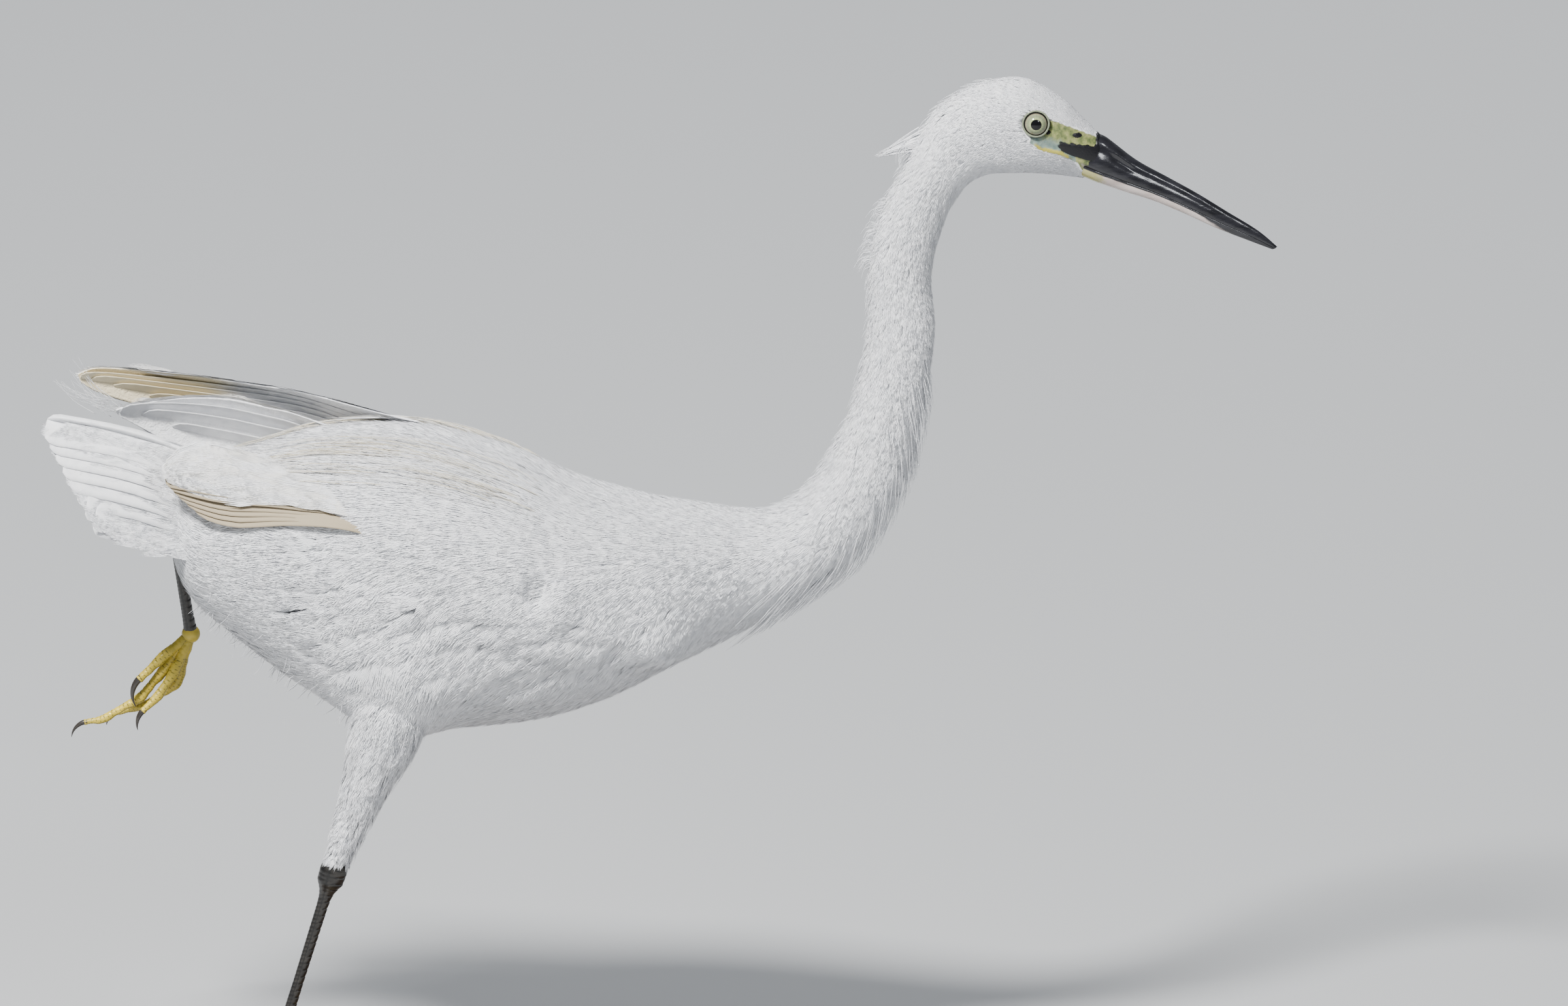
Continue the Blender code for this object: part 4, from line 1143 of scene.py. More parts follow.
def vane(middle, facing, half_widths, camber, split, seed):
    """One firm vane with a raised shaft, thin but closed, and its places across and along.

    The middle line is given at each row. Half widths are pairs, for the leading and the
    trailing web.
    """
    rng = np.random.default_rng(seed)
    along = unit(np.gradient(middle, axis=0))
    side = unit(np.cross(along, facing))
    rise = np.cross(side, along)
    columns = np.linspace(-1.0, 1.0, VANE_COLUMNS + 1)
    web = np.where(columns[None] < 0.0, half_widths[:, :1], half_widths[:, 1:])
    fray = 1.0 + split * rng.normal(0.0, 1.0, (VANE_ROWS, 1)) * np.abs(columns[None]) ** 3
    reach = web * columns[None] * fray
    sink = -camber * web * columns[None] ** 2
    face = middle[:, None] + side[:, None] * reach[..., None] + rise[:, None] * sink[..., None]
    face = face + along[:, None] * (np.abs(reach) * VANE_SWEEP)[..., None]
    half = VANE_THICKNESS / 2.0 * (1.0 - 0.7 * np.abs(columns)) + 0.04
    shaft = np.where(np.abs(columns) < 0.01, SHAFT_HEIGHT, 0.0)
    shaft = shaft * np.linspace(1.0, 0.3, VANE_ROWS)[:, None]
    upper = face + rise[:, None] * (half[None] + shaft)[..., None]
    lower = face - rise[:, None] * (half[None] + shaft * 0.6)[..., None]
    rings = np.concatenate([upper, lower[:, ::-1]], axis=1)
    across = np.concatenate([reach, reach[:, ::-1]], axis=1)
    return rings, across, np.broadcast_to(travelled(middle)[:, None], across.shape)


class VaneSet:
    """Vanes gathered into one mesh of closed pieces, its bake map a strip for each."""

    def __init__(self, name):
        self.name = name
        self.vanes = []

    def add(self, middle, facing, half_widths, tint, camber=0.06, split=0.02):
        made = vane(middle, facing, half_widths, camber, split, len(self.vanes))
        tint = np.broadcast_to(np.reshape(tint, (-1, 1)), made[1].shape)
        self.vanes.append((*made, tint))

    def build(self, material):
        rings, across, along, tint = (np.array(held) for held in zip(*self.vanes))
        count, rows, sides = rings.shape[:3]
        order = np.arange(count)[:, None, None]
        faces = tube_faces(rows, sides)[None, :, ::-1] + order * rows * sides
        strips = math.ceil(math.sqrt(count))
        u = (order % strips + 0.05 + 0.9 * np.arange(sides)[None, None] / sides) / strips
        v = (order // strips + 0.05 + 0.9 * np.arange(rows)[None, :, None] / rows) / strips
        patches = np.stack(np.broadcast_arrays(u, v), axis=-1)
        piece = make_mesh(self.name, rings.reshape(-1, 3), faces.reshape(-1, 3),
                          patches.reshape(-1, 2), across=across.ravel(), along=along.ravel(),
                          tint=tint.ravel())
        finish_piece(piece, material)


def vane_widths(leading, trailing, tip):
    """Half widths of both webs along a vane: narrow at the root, round at the tip."""
    outline = mix((VANE_ROOT, 1.0), smooth_step(0.0, 0.3, VANE_SHARE))
    outline = outline * np.sqrt(np.clip((1.0 - VANE_SHARE) / tip, 0.0, 1.0))
    outline = np.maximum(outline, 0.02)
    return np.stack([leading * outline, trailing * outline], axis=1)


# Ends of the folded wings behind the trunk, from the tip to the root: a point of the upper and
# one of the lower edge, each as its place along, its distance outwards and its height
WING_PAD = {
    "right": [((-121.8, 23.0, 285.0), (-121.2, 25.0, 281.5)),
              ((-114.3, 20.0, 290.9), (-113.2, 24.5, 276.8)),
              ((-101.5, 18.0, 294.3), (-95.3, 28.5, 272.8)),
              ((-89.0, 16.0, 290.6), (-76.0, 32.0, 272.6)),
              ((-75.0, 14.0, 287.0), (-58.0, 35.5, 271.6)),
              ((-60.0, 13.0, 289.0), (-42.0, 38.5, 269.6)),
              ((-44.0, 12.0, 291.0), (-27.0, 41.0, 264.5))],
    "left": [((-158.0, 28.0, 311.5), (-157.0, 28.5, 308.5)),
             ((-149.3, 27.0, 314.5), (-148.0, 29.0, 303.0)),
             ((-127.6, 25.0, 313.5), (-124.0, 30.0, 295.5)),
             ((-100.5, 22.5, 311.0), (-97.0, 32.0, 290.0)),
             ((-76.0, 20.0, 308.0), (-72.0, 34.5, 285.0)),
             ((-48.0, 17.0, 304.0), (-46.0, 38.0, 278.0)),
             ((-16.0, 14.0, 299.0), (-16.0, 41.0, 270.0))],
    "inner": [((-142.0, 17.5, 299.0), (-141.0, 19.0, 296.5)),
              ((-131.0, 17.5, 302.0), (-127.0, 20.5, 288.0)),
              ((-113.0, 18.0, 304.0), (-110.0, 21.5, 277.0)),
              ((-95.0, 18.0, 303.5), (-92.0, 25.0, 270.0)),
              ((-77.0, 16.5, 300.0), (-73.0, 29.0, 265.0)),
              ((-60.0, 15.0, 297.0), (-54.0, 33.0, 262.0)),
              ((-42.0, 13.0, 294.0), (-38.0, 36.0, 260.0))],
}
PAD_SIDE = {"right": -1.0, "left": 1.0, "inner": 1.0}
PAD_FACING = unit(np.array([0.0, 0.72, 0.69]))
PAD_DOME = 4.0
PAD_SINK = 4.5
PAD_THICKNESS = 0.8
PAD_ROWS = 70
PAD_COLUMNS = 26
LEAST_SHADE = 0.08
PAD_LOOK = CoatLook(6, 0.05, 0.08, 0.025, -0.4, 0.22)
PAD_CLUMPS = Clumps(0.08, 0.25, 0.03, 0.25, (1.0, 0.0, 0.0), 4.0)
# Cream at each leaf's upper edge; painted tan shade at the lower edge of the near and far wing
PAD_CREAM_AND_SHADE = {"right": (0.08, 1.5), "left": (0.08, 1.35), "inner": (0.05, 0.15)}
# Flight feathers under each leaf: their number, half width, and, for the first and last of them,
# the end, the place across at the root and at the end, the depth, the cream and painted tan shade,
# and where along the painted shade fades out towards the root
Flight = namedtuple("Flight", "count width end root_across end_across layer tints fade")
FLIGHTS = {
    "right": Flight(6, 4.2, (0.02, 0.2), (0.86, 1.16), (0.8, 1.32), (2.4, 3.0), (1.9, 2.3),
                    (0.9, 1.1)),
    "left": Flight(7, 5.4, (0.02, 0.6), (0.35, 0.95), (0.45, 1.0), (1.2, 3.0), (0.9, 1.7),
                   (0.4, 0.62)),
    "inner": Flight(5, 7.0, (0.03, 0.5), (0.3, 0.9), (0.25, 0.95), (1.2, 2.6), (0.05, 0.25),
                    (0.9, 1.1)),
}


def pad_surface(word):
    """Outer face of a wing's end: a from its tip to its root, b from its upper to lower edge."""
    side = PAD_SIDE[word]
    upper = np.array([row[0] for row in WING_PAD[word]])
    lower = np.array([row[1] for row in WING_PAD[word]])
    last = len(upper) - 1

    def surface(a, b, lift):
        place = np.maximum(a, -0.04) * last
        top = spline(upper, place)
        bottom = spline(lower, place)
        dome = PAD_DOME * np.sin(math.pi * np.clip(b, 0.0, 1.0)) ** 0.8
        dome = dome * smooth_step(-0.05, 0.4, a) - PAD_SINK * smooth_step(0.7, 1.0, a)
        point = mix((top, bottom), b[:, None]) + PAD_FACING * (dome + lift)[:, None]
        return point * mirror(side)
    return surface


def wing_end(word, soft, firm):
    """A folded wing's end: a thin leaf, the flight feathers under it and the coverts on it, with
    painted tan shade along the leaf's lower edge and on the flight feathers.
    """
    surface = pad_surface(word)
    side = PAD_SIDE[word]
    plan = FLIGHTS[word]
    places = np.linspace(0.0, 1.0, PAD_ROWS)
    across = np.linspace(0.0, 1.0, PAD_COLUMNS)
    b = np.concatenate([across, across[::-1]])
    lift = np.repeat([0.0, -PAD_THICKNESS], PAD_COLUMNS)
    rings = np.array([surface(np.full(len(b), a), b, lift) for a in places])
    # Painted tan shade on the leaf, fading out towards the root
    shade = smooth_step(plan.fade[1], plan.fade[0], places)[:, None]
    tint = np.repeat(PAD_CREAM_AND_SHADE[word], PAD_COLUMNS)[None] * np.maximum(shade, LEAST_SHADE)
    if side < 0.0:
        rings = rings[:, ::-1]
        tint = tint[:, ::-1]
    leaf = grid_mesh("wing_leaf_" + word, rings, tint=tint.ravel())
    finish_piece(leaf, soft)

    held = VaneSet("flight_feathers_" + word)
    facing = PAD_FACING * mirror(side)
    for i in range(plan.count):
        order = i / (plan.count - 1)
        a = mix((0.92, mix(plan.end, order)), VANE_SHARE)
        b = mix((mix(plan.root_across, order), mix(plan.end_across, order)),
                smooth_step(0.0, 1.0, VANE_SHARE))
        path = surface(a, b, np.full(VANE_ROWS, -mix(plan.layer, order)))
        width = plan.width * mix((1.0, 0.8), order)
        # Painted tan shade on each flight feather, fading out towards the root
        shade = np.maximum(smooth_step(plan.fade[1], plan.fade[0], a), LEAST_SHADE)
        held.add(path, facing, vane_widths(width * 0.8, width, 0.1), mix(plan.tints, order) * shade)
    held.build(firm)

    coat = Coat("coat_wing_" + word)
    a, b = scatter(surface, (0.12, 0.98), (0.02, 0.98), lambda at: (2.4, 2.3), SEED + 70)
    rng = np.random.default_rng(SEED + 71)
    grown = smooth_step(0.1, 0.4, a)
    length = mix((9.0, 26.0), grown) * rng.uniform(*WIDTH_SPREAD, len(a))
    feathers_on(coat, surface, a, b, 0.05 * (b - 0.4) * grown, length,
                mix((1.3, 2.1), grown) * side, PAD_LOOK, SEED + 72, PAD_CLUMPS,
                rng.uniform(0.0, 0.35, len(a)),
                lambda p, q: np.stack([0.02 + 0.9 * p, 0.25 + 0.25 * side + 0.2 * q], axis=1))
    coat.build(soft)


# Tail, from its middle pair to its outer one, folded like a roof
TAIL_PAIRS = 8
TAIL_ROOT = (np.array([-94.0, 1.5, 273.0]), np.array([-97.0, 11.0, 246.0]))
TAIL_TIP = (np.array([-171.0, 3.0, 295.5]), np.array([-149.0, 25.0, 265.0]))
TAIL_BOW = 8.0
TAIL_ARCH = 4.5
TAIL_HALF_WIDTH = 7.6
TAIL_LAYER = 0.5
TAIL_LEAN = (math.radians(46.0), math.radians(62.0))
TAIL_SPREAD = 1.15
TAIL_TINT = 0.08
BOW_AXIS = np.array([0.0, 0.25, 0.2])


def tail_feathers(material):
    held = VaneSet("tail_feathers")
    for side in SIDES.values():
        for i in range(TAIL_PAIRS):
            order = i / (TAIL_PAIRS - 1)
            root = mix(TAIL_ROOT, order)
            end = mix(TAIL_TIP, order ** TAIL_SPREAD)
            lean = mix(TAIL_LEAN, order)
            facing = unit(np.array([0.3, math.sin(lean), math.cos(lean)]))
            bow = BOW_AXIS * TAIL_BOW * math.sin(math.pi * order)
            bow = bow + np.array([0.0, 0.0, TAIL_ARCH * (1.0 - order)])
            path = spline([root, (root + end) / 2.0 + bow, end + bow * 0.3],
                          2.0 * VANE_SHARE)
            path = (path - facing * (TAIL_LAYER * i)) * mirror(side)
            held.add(path, facing * mirror(side),
                     vane_widths(TAIL_HALF_WIDTH, TAIL_HALF_WIDTH, 0.12), TAIL_TINT, 0.02, 0.01)
    held.build(material)


# Coverts of the tail lie on the plane of its vanes, on both sides of the ridge
TAIL_COVERT_SHARE = 0.97
TAIL_COVERT_BOW = 7.0
TAIL_COVERT_LOOK = CoatLook(6, 0.07, 0.1, 0.05, -1.0, 0.35)
TAIL_COVERT_CLUMPS = Clumps(0.08, 0.3, 0.04, 0.45, (1.0, 0.0, -0.3), 4.0)


def tail_surface(side):
    """Slope of the folded tail: a from its tip to its root, b from the ridge to the edge."""
    def surface(a, b, lift):
        share = (1.0 - a)[:, None]
        order = np.maximum(b, 0.0)[:, None]
        root = mix(TAIL_ROOT, b[:, None])
        end = mix(TAIL_TIP, b[:, None] - order + order ** TAIL_SPREAD)
        lean = mix(TAIL_LEAN, b)
        facing = unit(np.stack([0.3 + 0.0 * b, np.sin(lean), np.cos(lean)], axis=1))
        arch = TAIL_COVERT_BOW * (share * (1.0 - share)) * 4.0
        bow = BOW_AXIS * arch * np.sin(math.pi * np.clip(b, 0.0, 1.0))[:, None]
        point = root + (end - root) * share + bow
        point[:, 2] += TAIL_ARCH * ((1.0 - order) * (share * 1.4 - share ** 2 * 1.1) * 2.2)[:, 0]
        swell = 5.0 * (1.0 - share) ** 2
        sunk = TAIL_LAYER * (TAIL_PAIRS - 1) * order
        point = point + facing * (lift[:, None] + swell - sunk)
        return point * mirror(side)
    return surface


def tail_coverts(material):
    coat = Coat("coat_tail")
    for side in SIDES.values():
        surface = tail_surface(side)
        a, b = scatter(surface, (1.0 - TAIL_COVERT_SHARE, 1.0), (-0.1, 1.14),
                       lambda at: (2.3, 2.2), SEED + 60)
        kept = b > mix((0.1, -0.12), smooth_step(0.05, 0.3, a))
        a = a[kept]
        b = b[kept]
        rng = np.random.default_rng(SEED + 61)
        length = mix((6.0, 24.0), smooth_step(0.02, 0.6, a)) * rng.uniform(*WIDTH_SPREAD, len(a))
        width = rng.uniform(1.4, 2.1, len(a))
        lie = 0.02 + 0.12 * smooth_step(0.5, 1.1, b)
        feathers_on(coat, surface, a, b, lie, length, width * side, TAIL_COVERT_LOOK, SEED + 62,
                    TAIL_COVERT_CLUMPS, unwrap=lambda p, q: np.stack(
                        [0.5 * p, 0.25 + 0.25 * side + 0.2 * q], axis=1))
    coat.build(material)


# Plumes, wisps and bristles that stand free
PLUME_SEED = SEED + 90


def bunch(rng, count, root, root_spread, tip, tip_spread, bow, bow_spread):
    """Paths of strands from a spread of roots, by a bowed middle, to a spread of tips."""
    start = np.asarray(root) + rng.normal(size=(count, 3)) * root_spread
    end = np.asarray(tip) + rng.normal(size=(count, 3)) * tip_spread
    length = rng.uniform(0.55, 1.0, (count, 1)) ** 0.5
    end = start + (end - start) * length
    middle = (start + end) / 2.0 + np.asarray(bow) + rng.normal(size=(count, 3)) * bow_spread
    return np.stack([start, middle, end])


def swept(surface, rng, a, b, length, turn, lifts):
    """Paths of strands that lie along a surface from places a and b."""
    _, _, run_a, run_b = surface_frame(surface, a, b, 0.0 * a)
    speed_a = np.linalg.norm(run_a, axis=1)
    speed_b = np.linalg.norm(run_b, axis=1)
    knots = []
    for share, lift in zip(np.linspace(0.0, 1.0, len(lifts)), lifts):
        knots.append(surface(a - np.cos(turn) * length * share / speed_a,
                             b + np.sin(turn) * length * share / speed_b,
                             lift + 0.25 * rng.normal(size=len(a))))
    return np.array(knots)


CREST_ROOT = (194.0, 0.0, 420.5)
CREST_TIP = (174.3, 0.0, 413.0)
WISP_ROOT = (187.5, -1.5, 417.5)
WISP_TIP = (183.0, -3.0, 411.0)
BRISTLE_ROOT = (-143.0, 24.0, 298.0)
BRISTLE_TIP = (-163.0, 27.0, 312.0)
# How many strands stand in each place
CREST = 240
WISP = 26
NAPE = 90
FORE_NECK = 150
HIND_NECK = 90
BREAST = 420
BACK = 120
BRISTLES = 22
BELLY = 150
BELLY_TUFTS = 16
WING_EDGE = 60
THIGH = 380


def free_plumes(material):
    rng = np.random.default_rng(PLUME_SEED)
    coat = Coat("plumes")

    def hold(paths, radius, a, b, tint=0.0):
        count = paths.shape[1]
        centres = body_unwrap(np.broadcast_to(a, count), np.broadcast_to(b, count))
        strands_on(coat, paths, radius * rng.uniform(0.7, 1.2, count), centres, tint)

    crest = bunch(rng, CREST, CREST_ROOT, (1.2, 1.3, 2.0), CREST_TIP, (0.5, 0.4, 0.4),
                  (0.2, 0.0, 0.2), 0.15)
    hold(crest, 0.34, 17.0, 0.0)
    wisp = bunch(rng, WISP, WISP_ROOT, (0.8, 1.5, 1.6), WISP_TIP, (1.0, 1.0, 1.5),
                 (-0.8, 0.0, 0.4), 0.5)
    hold(wisp, 0.16, 16.8, 0.0)

    a = rng.uniform(14.2, 15.7, NAPE)
    b = rng.normal(0.0, 0.35, NAPE)
    root = plumage_surface(a, b, -0.8 + 0.0 * a)
    away = np.array([-5.5, 0.0, -4.5]) * rng.uniform(0.5, 1.25, (NAPE, 1))
    away = away + rng.normal(size=(NAPE, 3)) * 0.8
    hold(np.stack([root, root + away * 0.5 + np.array([-0.9, 0.0, 1.3]), root + away]), 0.15, a, b)

    a = np.concatenate([rng.uniform(9.5, 14.2, FORE_NECK), rng.uniform(15.7, 19.5, HIND_NECK)])
    b = rng.normal(0.0, 0.5, len(a))
    hold(swept(plumage_surface, rng, a, b, rng.uniform(5.0, 9.0, len(a)), 0.0 * a,
               (-0.8, 0.5, 1.3)), 0.13, a, b)

    a = rng.uniform(8.6, 12.6, BREAST)
    b = rng.normal(math.pi, 0.75, BREAST)
    hold(swept(plumage_surface, rng, a, b, rng.uniform(12.0, 26.0, BREAST),
               0.25 * np.sign(math.pi - b), (-0.8, 0.8, 2.4, 4.0)), 0.17, a, b)

    for side in SIDES.values():
        a = rng.uniform(2.7, 5.6, BACK)
        b = np.radians(rng.uniform(14.0, 44.0, BACK)) * side
        length = rng.uniform(32.0, 58.0, BACK)
        hold(swept(plumage_surface, rng, a, b, length, -0.02 * side + 0.03 * rng.normal(size=BACK),
                   (-0.6, 1.0, 1.4, 1.7, 2.2)), 0.16, a, b, rng.uniform(0.1, 0.85, BACK))

    hold(bunch(rng, BRISTLES, BRISTLE_ROOT, (4.0, 2.0, 2.5), BRISTLE_TIP, (5.0, 2.5, 5.0),
               (-1.5, 0.0, -1.5), 0.8), 0.1, 1.0, 0.4)

    a = rng.uniform(1.3, 3.4, BELLY)
    b = math.pi + rng.normal(0.0, 0.45, BELLY)
    root = plumage_surface(a, b, -1.0 + 0.0 * a)
    tufts = rng.integers(0, BELLY_TUFTS, BELLY)
    drop = rng.normal(size=(BELLY_TUFTS, 3)) * (1.6, 1.0, 1.0) + (-4.0, 0.0, -5.0)
    reach = drop[tufts] * rng.uniform(0.5, 1.3, (BELLY, 1)) + rng.normal(size=(BELLY, 3)) * 0.7
    middle = root + reach * 0.5 + rng.normal(size=(BELLY, 3)) * 0.4
    hold(np.stack([root, middle, root + reach]), 0.13, a, b)

    for word in ("left", "inner"):
        a = rng.uniform(0.0, 0.18, WING_EDGE)
        b = rng.uniform(0.0, 1.0, WING_EDGE)
        length = rng.uniform(4.0, 8.0, WING_EDGE)
        hold(swept(pad_surface(word), rng, a, b, length, 0.2 * rng.normal(size=WING_EDGE),
                   (-0.4, 0.0, 0.2)), 0.14, 0.5 + a, 0.8 + 0.3 * b, 0.2)
    for word, side in SIDES.items():
        a = rng.uniform(0.1, 0.9, THIGH)
        b = rng.uniform(0.0, TAU, THIGH)
        length = rng.uniform(7.0, 14.0, THIGH) * (1.0 + 0.7 * (a > 0.6))
        hold(swept(thigh_surface(word, THIGH_FLARE), rng, a, b, length,
                   0.1 * rng.normal(size=THIGH), (-0.5, 0.7, 1.6)),
             0.13, 3.0 + a, side * 2.4 + 0.1 * b)
    coat.build(material)


# Skin under the coat
SKIN_SIDES = 120
THIGH_SIDES = 32
THIGH_ROWS = 24
THIGH_SKIN_DEPTH = 1.6
NO_FACE = -9.0
SKIN_DEPTH = [4.0, 4.0, 4.0, 4.0, 4.0, 4.0, 4.0, 4.0, 3.8, 3.6, 3.2, 3.0, 2.8, 2.6, 2.5, 2.4, 2.3,
              2.2, 1.7, 1.3, 1.1, 0.9, 0.7, 1.0]


def skin_loft():
    """Trunk, neck and head as one closed loft, closer ringed on the head."""
    places = np.concatenate([np.linspace(-0.9, NECK_START, 64, endpoint=False),
                             np.linspace(NECK_START, HEAD_START, 60, endpoint=False),
                             np.linspace(HEAD_START, HEAD_END, 150)])
    angles = np.linspace(-math.pi, math.pi, SKIN_SIDES, endpoint=False)
    a = np.repeat(places, SKIN_SIDES)
    b = np.tile(angles, len(places))
    depth = spline(SKIN_DEPTH, a)
    points = plumage_surface(a, b, -depth)
    fields = face_fields(points)
    shaped = a > HEAD_START
    relief = np.where(shaped, face_relief(points, fields), 0.0)
    fields = {name: np.where(shaped, values, NO_FACE) for name, values in fields.items()}
    del fields["eye"]
    rings = plumage_surface(a, b, relief - depth).reshape(len(places), SKIN_SIDES, 3)
    return grid_mesh("skin", rings, **fields)


def thigh_flesh(word):
    surface = thigh_surface(word)
    b = full_turn(THIGH_SIDES)
    rings = [surface(np.full(THIGH_SIDES, a), b, -THIGH_SKIN_DEPTH)
             for a in np.linspace(0.0, 1.0, THIGH_ROWS)]
    return grid_mesh("flesh", rings)


def join_flesh(skin, helpers):
    """One closed surface from the loft and the limbs sunk in it."""
    group = bpy.data.collections.new("flesh_parts")
    bpy.context.scene.collection.children.link(group)
    for helper in helpers:
        bpy.context.scene.collection.objects.unlink(helper)
        group.objects.link(helper)
    change = skin.modifiers.new("join", "BOOLEAN")
    change.operation = "UNION"
    change.operand_type = "COLLECTION"
    change.collection = group
    change.solver = "EXACT"
    bpy.context.view_layer.update()
    evaluated = skin.evaluated_get(bpy.context.evaluated_depsgraph_get())
    skin.modifiers.clear()
    skin.data = bpy.data.meshes.new_from_object(evaluated)
    for helper in helpers:
        bpy.data.objects.remove(helper)
    bpy.data.collections.remove(group)
    skin.data.shade_smooth()
    return skin


# Coat by region: length, half width and spacing at the body's stations
COAT_LENGTH = [17.0, 17.0, 17.0, 17.0, 17.0, 16.0, 15.0, 14.0, 13.0, 11.5, 10.0, 9.0, 8.5, 8.0,
               7.5, 7.5, 7.0, 6.5, 5.5, 4.6, 4.0, 3.4, 2.8, 2.4]
COAT_HALF_WIDTH = [2.2, 2.2, 2.2, 2.2, 2.2, 2.1, 2.0, 1.8, 1.6, 1.4, 1.2, 1.1, 1.0, 1.0,
                   0.95, 0.9, 0.85, 0.8, 0.7, 0.6, 0.5, 0.45, 0.4, 0.35]
ACROSS_STEP = 0.85
ALONG_STEP = 0.17
TRUNK_LOOK = CoatLook(5, 0.14, 0.15, 0.09, -3.2, 0.2)
NECK_LOOK = CoatLook(4, 0.10, 0.12, 0.07, -2.4, 0.0)
HEAD_LOOK = CoatLook(3, 0.1, 0.1, 0.1, -1.2, -0.35)
TRUNK_CLUMPS = Clumps(0.10, 0.42, 0.20, 1.9, (1.0, 0.0, 0.5), 3.2)
NECK_CLUMPS = Clumps(0.16, 0.25, 0.06, 0.45)
HEAD_CLUMPS = Clumps(0.16, 0.2, 0.05, 0.15)
TRUNK_START = -0.75
TRUNK_END = 8.8
COAT_END = 22.9


def coat_spacing(a):
    place = np.array([min(max(a, 0.0), HEAD_END)])
    return (spline(COAT_LENGTH, place)[0] * ALONG_STEP,
            spline(COAT_HALF_WIDTH, place)[0] * 2.0 * ACROSS_STEP)


DRAPE_TURN = 1.15


def trunk_lie(a, b):
    """The coat runs back, turning a little down over the flanks."""
    turn = np.degrees(np.abs(b))
    flank = smooth_step(50.0, 85.0, turn) * smooth_step(150.0, 115.0, turn)
    flank = flank * smooth_step(1.5, 4.0, a) * smooth_step(10.5, 8.5, a)
    gap = thigh_gap("right", body_point(a, b, 0.0 * a))
    drape = DRAPE_TURN * smooth_step(42.0, 18.0, gap) * (b < 0.0)
    side = 0.22 * np.sin(np.abs(b)) ** 2 * smooth_step(9.0, 6.0, a) + 0.38 * flank
    return np.sign(b) * np.maximum(side, drape)


def ruffled(a, b):
    """Where the coat is ruffled: along the flanks below the wings, and not under the belly."""
    turn = np.degrees(np.abs(b))
    low = 40.0 + 32.0 * smooth_step(1.5, 5.0, a)
    band = smooth_step(low, low + 22.0, turn) * smooth_step(142.0, 118.0, turn)
    here = body_point(a, b, 0.0 * a)
    near = smooth_step(16.0, 32.0, thigh_gap("right", here)) * smooth_step(-78.0, -48.0, here[:, 0])
    return 0.12 + 0.88 * band * smooth_step(8.3, 7.0, a) * mix((0.35, 1.0), near)


def feathered(a, b):
    """Leaves the bare face and the eyes free of feathers."""
    here = body_point(a, b, 0.0 * a)
    fields = face_fields(here)
    free = (fields["bare"] < -0.35) & (fields["gape"] < -0.2) & (fields["black"] < -0.3)
    return (free & (fields["eye"] > LID_OPENING + 0.8)) | (a < HEAD_START)


def body_coat(name, a_range, look, seed, clumps, material, ruffle=None, density=1.0):
    coat = Coat(name)
    a, b = scatter(plumage_surface, a_range, (-math.pi, math.pi),
                   lambda at: tuple(step / density for step in coat_spacing(at)), seed, True)
    kept = feathered(a, b)
    a = a[kept]
    b = b[kept]
    rng = np.random.default_rng(seed + 1)
    length = spline(COAT_LENGTH, a) * rng.uniform(*LENGTH_SPREAD, len(a))
    width = spline(COAT_HALF_WIDTH, a) * rng.uniform(*WIDTH_SPREAD, len(a))
    feathers_on(coat, plumage_surface, a, b, trunk_lie(a, b), length, width, look, seed + 3, clumps,
                ruffle=ruffle(a, b) if ruffle else 1.0)
    coat.build(material)


THIGH_FLARE = 1.5
THIGH_ROOT_SINK = 7.0
THIGH_LOOK = CoatLook(4, 0.14, 0.12, 0.12,
                      lambda a: -2.2 - THIGH_ROOT_SINK * smooth_step(0.62, 0.95, a), 0.3)
THIGH_CLUMPS = Clumps(0.10, 0.45, 0.14, 1.3, (0.3, 0.0, 0.95), 3.0)


def thigh_coat(word, material):
    surface = thigh_surface(word, THIGH_FLARE)
    coat = Coat("coat_thigh_" + word)
    a, b = scatter(surface, (0.0, 1.0), (0.0, TAU), lambda at: (1.3, 1.4), SEED, True)
    rng = np.random.default_rng(SEED + 5)
    length = (6.0 + 16.0 * a ** 1.5) * rng.uniform(*LENGTH_SPREAD, len(a))
    feathers_on(coat, surface, a, b, np.zeros(len(a)), length, mix((0.8, 1.7), a), THIGH_LOOK,
                SEED + 6, THIGH_CLUMPS, unwrap=lambda p, q: np.stack(
                    [0.02 + 0.96 * p, 0.02 + 0.96 * q / TAU], axis=1))
    coat.build(material)


def plain_material(name, colour, roughness, coat=0.0):
    """One colour, a little uneven."""
    made, tree, shader = node_material(name)
    dark = tuple(channel * 0.7 for channel in colour)
    dress_shader(tree, shader, ramp(tree, noise_node(tree, 400.0), (0.35, dark), (0.65, colour)),
                 (noise_node(tree, 900.0), 0.2, 0.0002), Roughness=roughness, Coat_Weight=coat)
    return made


WOOD_STRETCH = (0.08, 1.0, 1.0)


def wood_material():
    """Dark waxed wood, its grain running along the base."""
    made, tree, shader = node_material("wood")
    wave = add_node(tree, "ShaderNodeTexWave", {"wave_type": "RINGS", "rings_direction": "X"},
                    Scale=75.0, Distortion=9.0, Detail=5.0, Detail_Scale=1.6)
    tree.links.new(object_place(tree, WOOD_STRETCH), wave.inputs["Vector"])
    rings = ramp(tree, wave.outputs["Fac"], (0.1, (0.075, 0.040, 0.021)),
                 (0.55, (0.115, 0.062, 0.033)), (0.95, (0.060, 0.031, 0.016)))
    pores = ramp(tree, noise_node(tree, 1100.0, 3.0, (0.05, 1.0, 1.0)),
                 (0.36, (0.035, 0.018, 0.010)), (0.46, (1.0, 1.0, 1.0)))
    dress_shader(tree, shader, blend_colours(tree, 0.7, rings, pores, "MULTIPLY"),
                 (wave.outputs["Fac"], 0.15, 0.0003), Roughness=0.36, Coat_Weight=0.25,
                 Coat_Roughness=0.2)
    return made


